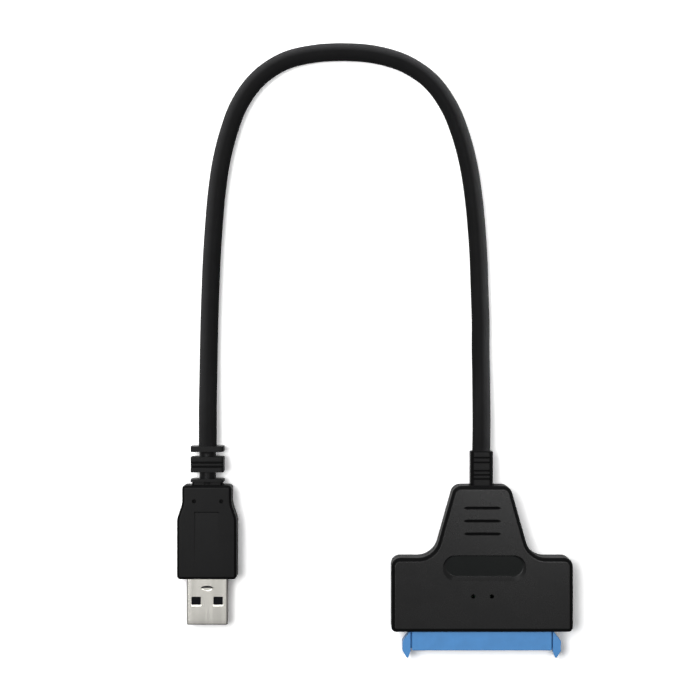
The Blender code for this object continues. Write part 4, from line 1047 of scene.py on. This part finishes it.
# The folds, the inside and a thin band at the tip take a much darker, rougher steel: painted shade,
# on more of the right fold than the left.
TIP_BAND = 0.25 * MM
split(shell, (0, SHELL_TIP + TIP_BAND, 0), (0, 1, 0))
shell_steel = plated_metal("shell_steel", (0.345, 0.337, 0.312), 0.22, (1, 0.06, 1))
painted_shade_steel = plated_metal("painted_shade_steel", (0.04, 0.039, 0.037), 0.4, (1, 0.06, 1))
shell.data.materials.clear()
shell.data.materials.append(shell_steel)
shell.data.materials.append(painted_shade_steel)
for face in shell.data.polygons:
    fold = 0.5 < face.normal.x < 0.97 or -0.98 < face.normal.x < -0.7
    depth = SHELL_HALF_HEIGHT - abs(face.center.z - PLUG_Z)
    inside = depth > 0.2 * MM and abs(face.center.x - PLUG_X) < SHELL_HALF - 0.2 * MM
    at_tip = face.center.y < SHELL_TIP + TIP_BAND
    face.material_index = 1 if fold or inside or at_tip else 0
dress(shell, shell_steel, ["usb_shell"])

# Plug inside. A dark nylon tongue on a block that fills the shell's root, with four flat contacts
# near its tip and five raised ones behind them, all gold plated.
insulator_black = moulded_plastic(
    "insulator_black", (0.0025, 0.003, 0.004), 0.4, 2600, 0.01 * MM, 0.03
)
repaint(["usb_insulator"], insulator_black)
plug_contacts = [
    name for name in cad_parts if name.startswith(("usb_contact", "usb_fast_contact"))
]
repaint(plug_contacts, plated_metal("plug_contact_gold", (0.86, 0.66, 0.3), 0.26, (1, 0.15, 1)))

# The pieces moulded on to the lead's far end. The lead's length is what the route measures between
# the sleeve and the plug.
carried = [moulding, shell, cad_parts["usb_insulator"]]
carried += [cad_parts[name] for name in plug_contacts]

# Table. A matt white sweep that shows pure white and keeps the soft shadow. It lies a hair below
# the object and lights it as plain white card would, but shows brighter in reflections and
# brightest to the camera.
TABLE_DROP = 0.0001
CARD_WHITE = (0.75, 0.75, 0.75, 1)
MIRRORED_WHITE = (1, 1, 1, 1)
SEEN_WHITE = (1.3, 1.3, 1.3, 1)
OBJECT_CENTRE = (-0.03, 0.06, 0)
SHADOW_REACH = 0.12
PLAIN_REACH = 0.18
bpy.ops.object.select_all(action="DESELECT")
bpy.ops.mesh.primitive_plane_add(size=20, location=(0, 0, -TABLE_DROP))
table = bpy.context.object
table.name = "table"


def any_ray(tree, kinds):
    """1 for a ray of any of these kinds, 0 for the others."""
    ray = tree.nodes.new("ShaderNodeLightPath")
    found = ray.outputs[kinds[0]]
    for kind in kinds[1:]:
        either = tree.nodes.new("ShaderNodeMath")
        either.operation = "MAXIMUM"
        tree.links.new(found, either.inputs[0])
        tree.links.new(ray.outputs[kind], either.inputs[1])
        found = either.outputs[0]
    return found


white = bpy.data.materials.new("table_white")
white.use_nodes = True
tree = white.node_tree
paint = tree.nodes["Principled BSDF"]
paint.inputs["Roughness"].default_value = 0.9
paint.inputs["Specular IOR Level"].default_value = 0.0
mirrored = tree.nodes.new("ShaderNodeMix")
mirrored.data_type = "RGBA"
mirrored.inputs["A"].default_value = CARD_WHITE
mirrored.inputs["B"].default_value = MIRRORED_WHITE
tree.links.new(any_ray(tree, ["Is Glossy Ray", "Is Transmission Ray"]), mirrored.inputs["Factor"])
seen = tree.nodes.new("ShaderNodeMix")
seen.data_type = "RGBA"
seen.inputs["B"].default_value = SEEN_WHITE
tree.links.new(any_ray(tree, ["Is Camera Ray"]), seen.inputs["Factor"])
tree.links.new(mirrored.outputs["Result"], seen.inputs["A"])
tree.links.new(seen.outputs["Result"], paint.inputs["Base Color"])
# Well away from the object, where no shadow falls, the sweep shows plain white.
place = tree.nodes.new("ShaderNodeTexCoord")
distance = tree.nodes.new("ShaderNodeVectorMath")
distance.operation = "DISTANCE"
distance.inputs[1].default_value = OBJECT_CENTRE
tree.links.new(place.outputs["Object"], distance.inputs[0])
away = tree.nodes.new("ShaderNodeMapRange")
away.inputs["From Min"].default_value = SHADOW_REACH
away.inputs["From Max"].default_value = PLAIN_REACH
tree.links.new(distance.outputs["Value"], away.inputs["Value"])
shown = tree.nodes.new("ShaderNodeMath")
shown.operation = "MULTIPLY"
tree.links.new(away.outputs["Result"], shown.inputs[0])
seen_ray = any_ray(tree, ["Is Camera Ray", "Is Glossy Ray", "Is Transmission Ray"])
tree.links.new(seen_ray, shown.inputs[1])
plain = tree.nodes.new("ShaderNodeEmission")
blend = tree.nodes.new("ShaderNodeMixShader")
tree.links.new(shown.outputs[0], blend.inputs["Fac"])
tree.links.new(paint.outputs[0], blend.inputs[1])
tree.links.new(plain.outputs[0], blend.inputs[2])
tree.links.new(blend.outputs[0], tree.nodes["Material Output"].inputs["Surface"])
table.data.materials.append(white)

# Light. A soft key high on the left, a small panel overhead on the right, one beyond the loop, and
# a narrow strip at table height outside each leg and the top of the lead. The strips don't show in
# reflections. The white room shows there, and lights the object only faintly. Each row gives name,
# place, target, width, depth, brightness and spread in degrees.
panels = [
    ("key_panel", (-0.27, 0.13, 0.63), (-0.04, 0.03, 0.0), 0.38, 0.28, 12.0, 180),
    ("top_panel", (0.11, 0.05, 0.70), (0.0, 0.0, 0.0), 0.13, 0.13, 20.0, 180),
    ("far_panel", (-0.04, 0.42, 0.50), (-0.04, 0.06, 0.0), 0.5, 0.15, 2.5, 180),
    ("left_strip", (-0.20, 0.11, 0.0035), (-0.08, 0.11, 0.003), 0.14, 0.005, 650, 50),
    ("right_strip", (0.13, 0.10, 0.0035), (0.0, 0.10, 0.003), 0.16, 0.005, 1050, 50),
    ("far_strip", (-0.04, 0.27, 0.0035), (-0.04, 0.147, 0.003), 0.16, 0.005, 1050, 60),
]
for name, stand, target, wide, deep, radiance, spread in panels:
    aim = (Vector(target) - Vector(stand)).to_track_quat("-Z", "Y").to_euler()
    bpy.ops.object.light_add(type="AREA", location=stand, rotation=aim)
    panel = bpy.context.object
    panel.name = name
    panel.visible_camera = False
    panel.visible_glossy = not name.endswith("strip")
    panel.data.shape = "RECTANGLE"
    panel.data.size = wide
    panel.data.size_y = deep
    half = math.radians(spread / 2)
    panel.data.spread = 2 * half
    panel.data.energy = radiance * math.pi * wide * deep * (1 - half / math.tan(half))
room = bpy.data.worlds.new("room")
room.use_nodes = True
tree = room.node_tree
glow = tree.nodes["Background"]
ROOM_FILL = 0.06
strength = tree.nodes.new("ShaderNodeMapRange")
strength.inputs["To Min"].default_value = ROOM_FILL
strength.inputs["To Max"].default_value = 1.0
shown = any_ray(tree, ["Is Camera Ray", "Is Glossy Ray", "Is Transmission Ray"])
tree.links.new(shown, strength.inputs["Value"])
tree.links.new(strength.outputs["Result"], glow.inputs["Strength"])
glow.inputs["Color"].default_value = (1, 1, 1, 1)
bpy.context.scene.world = room
bpy.context.scene.view_settings.view_transform = "Standard"
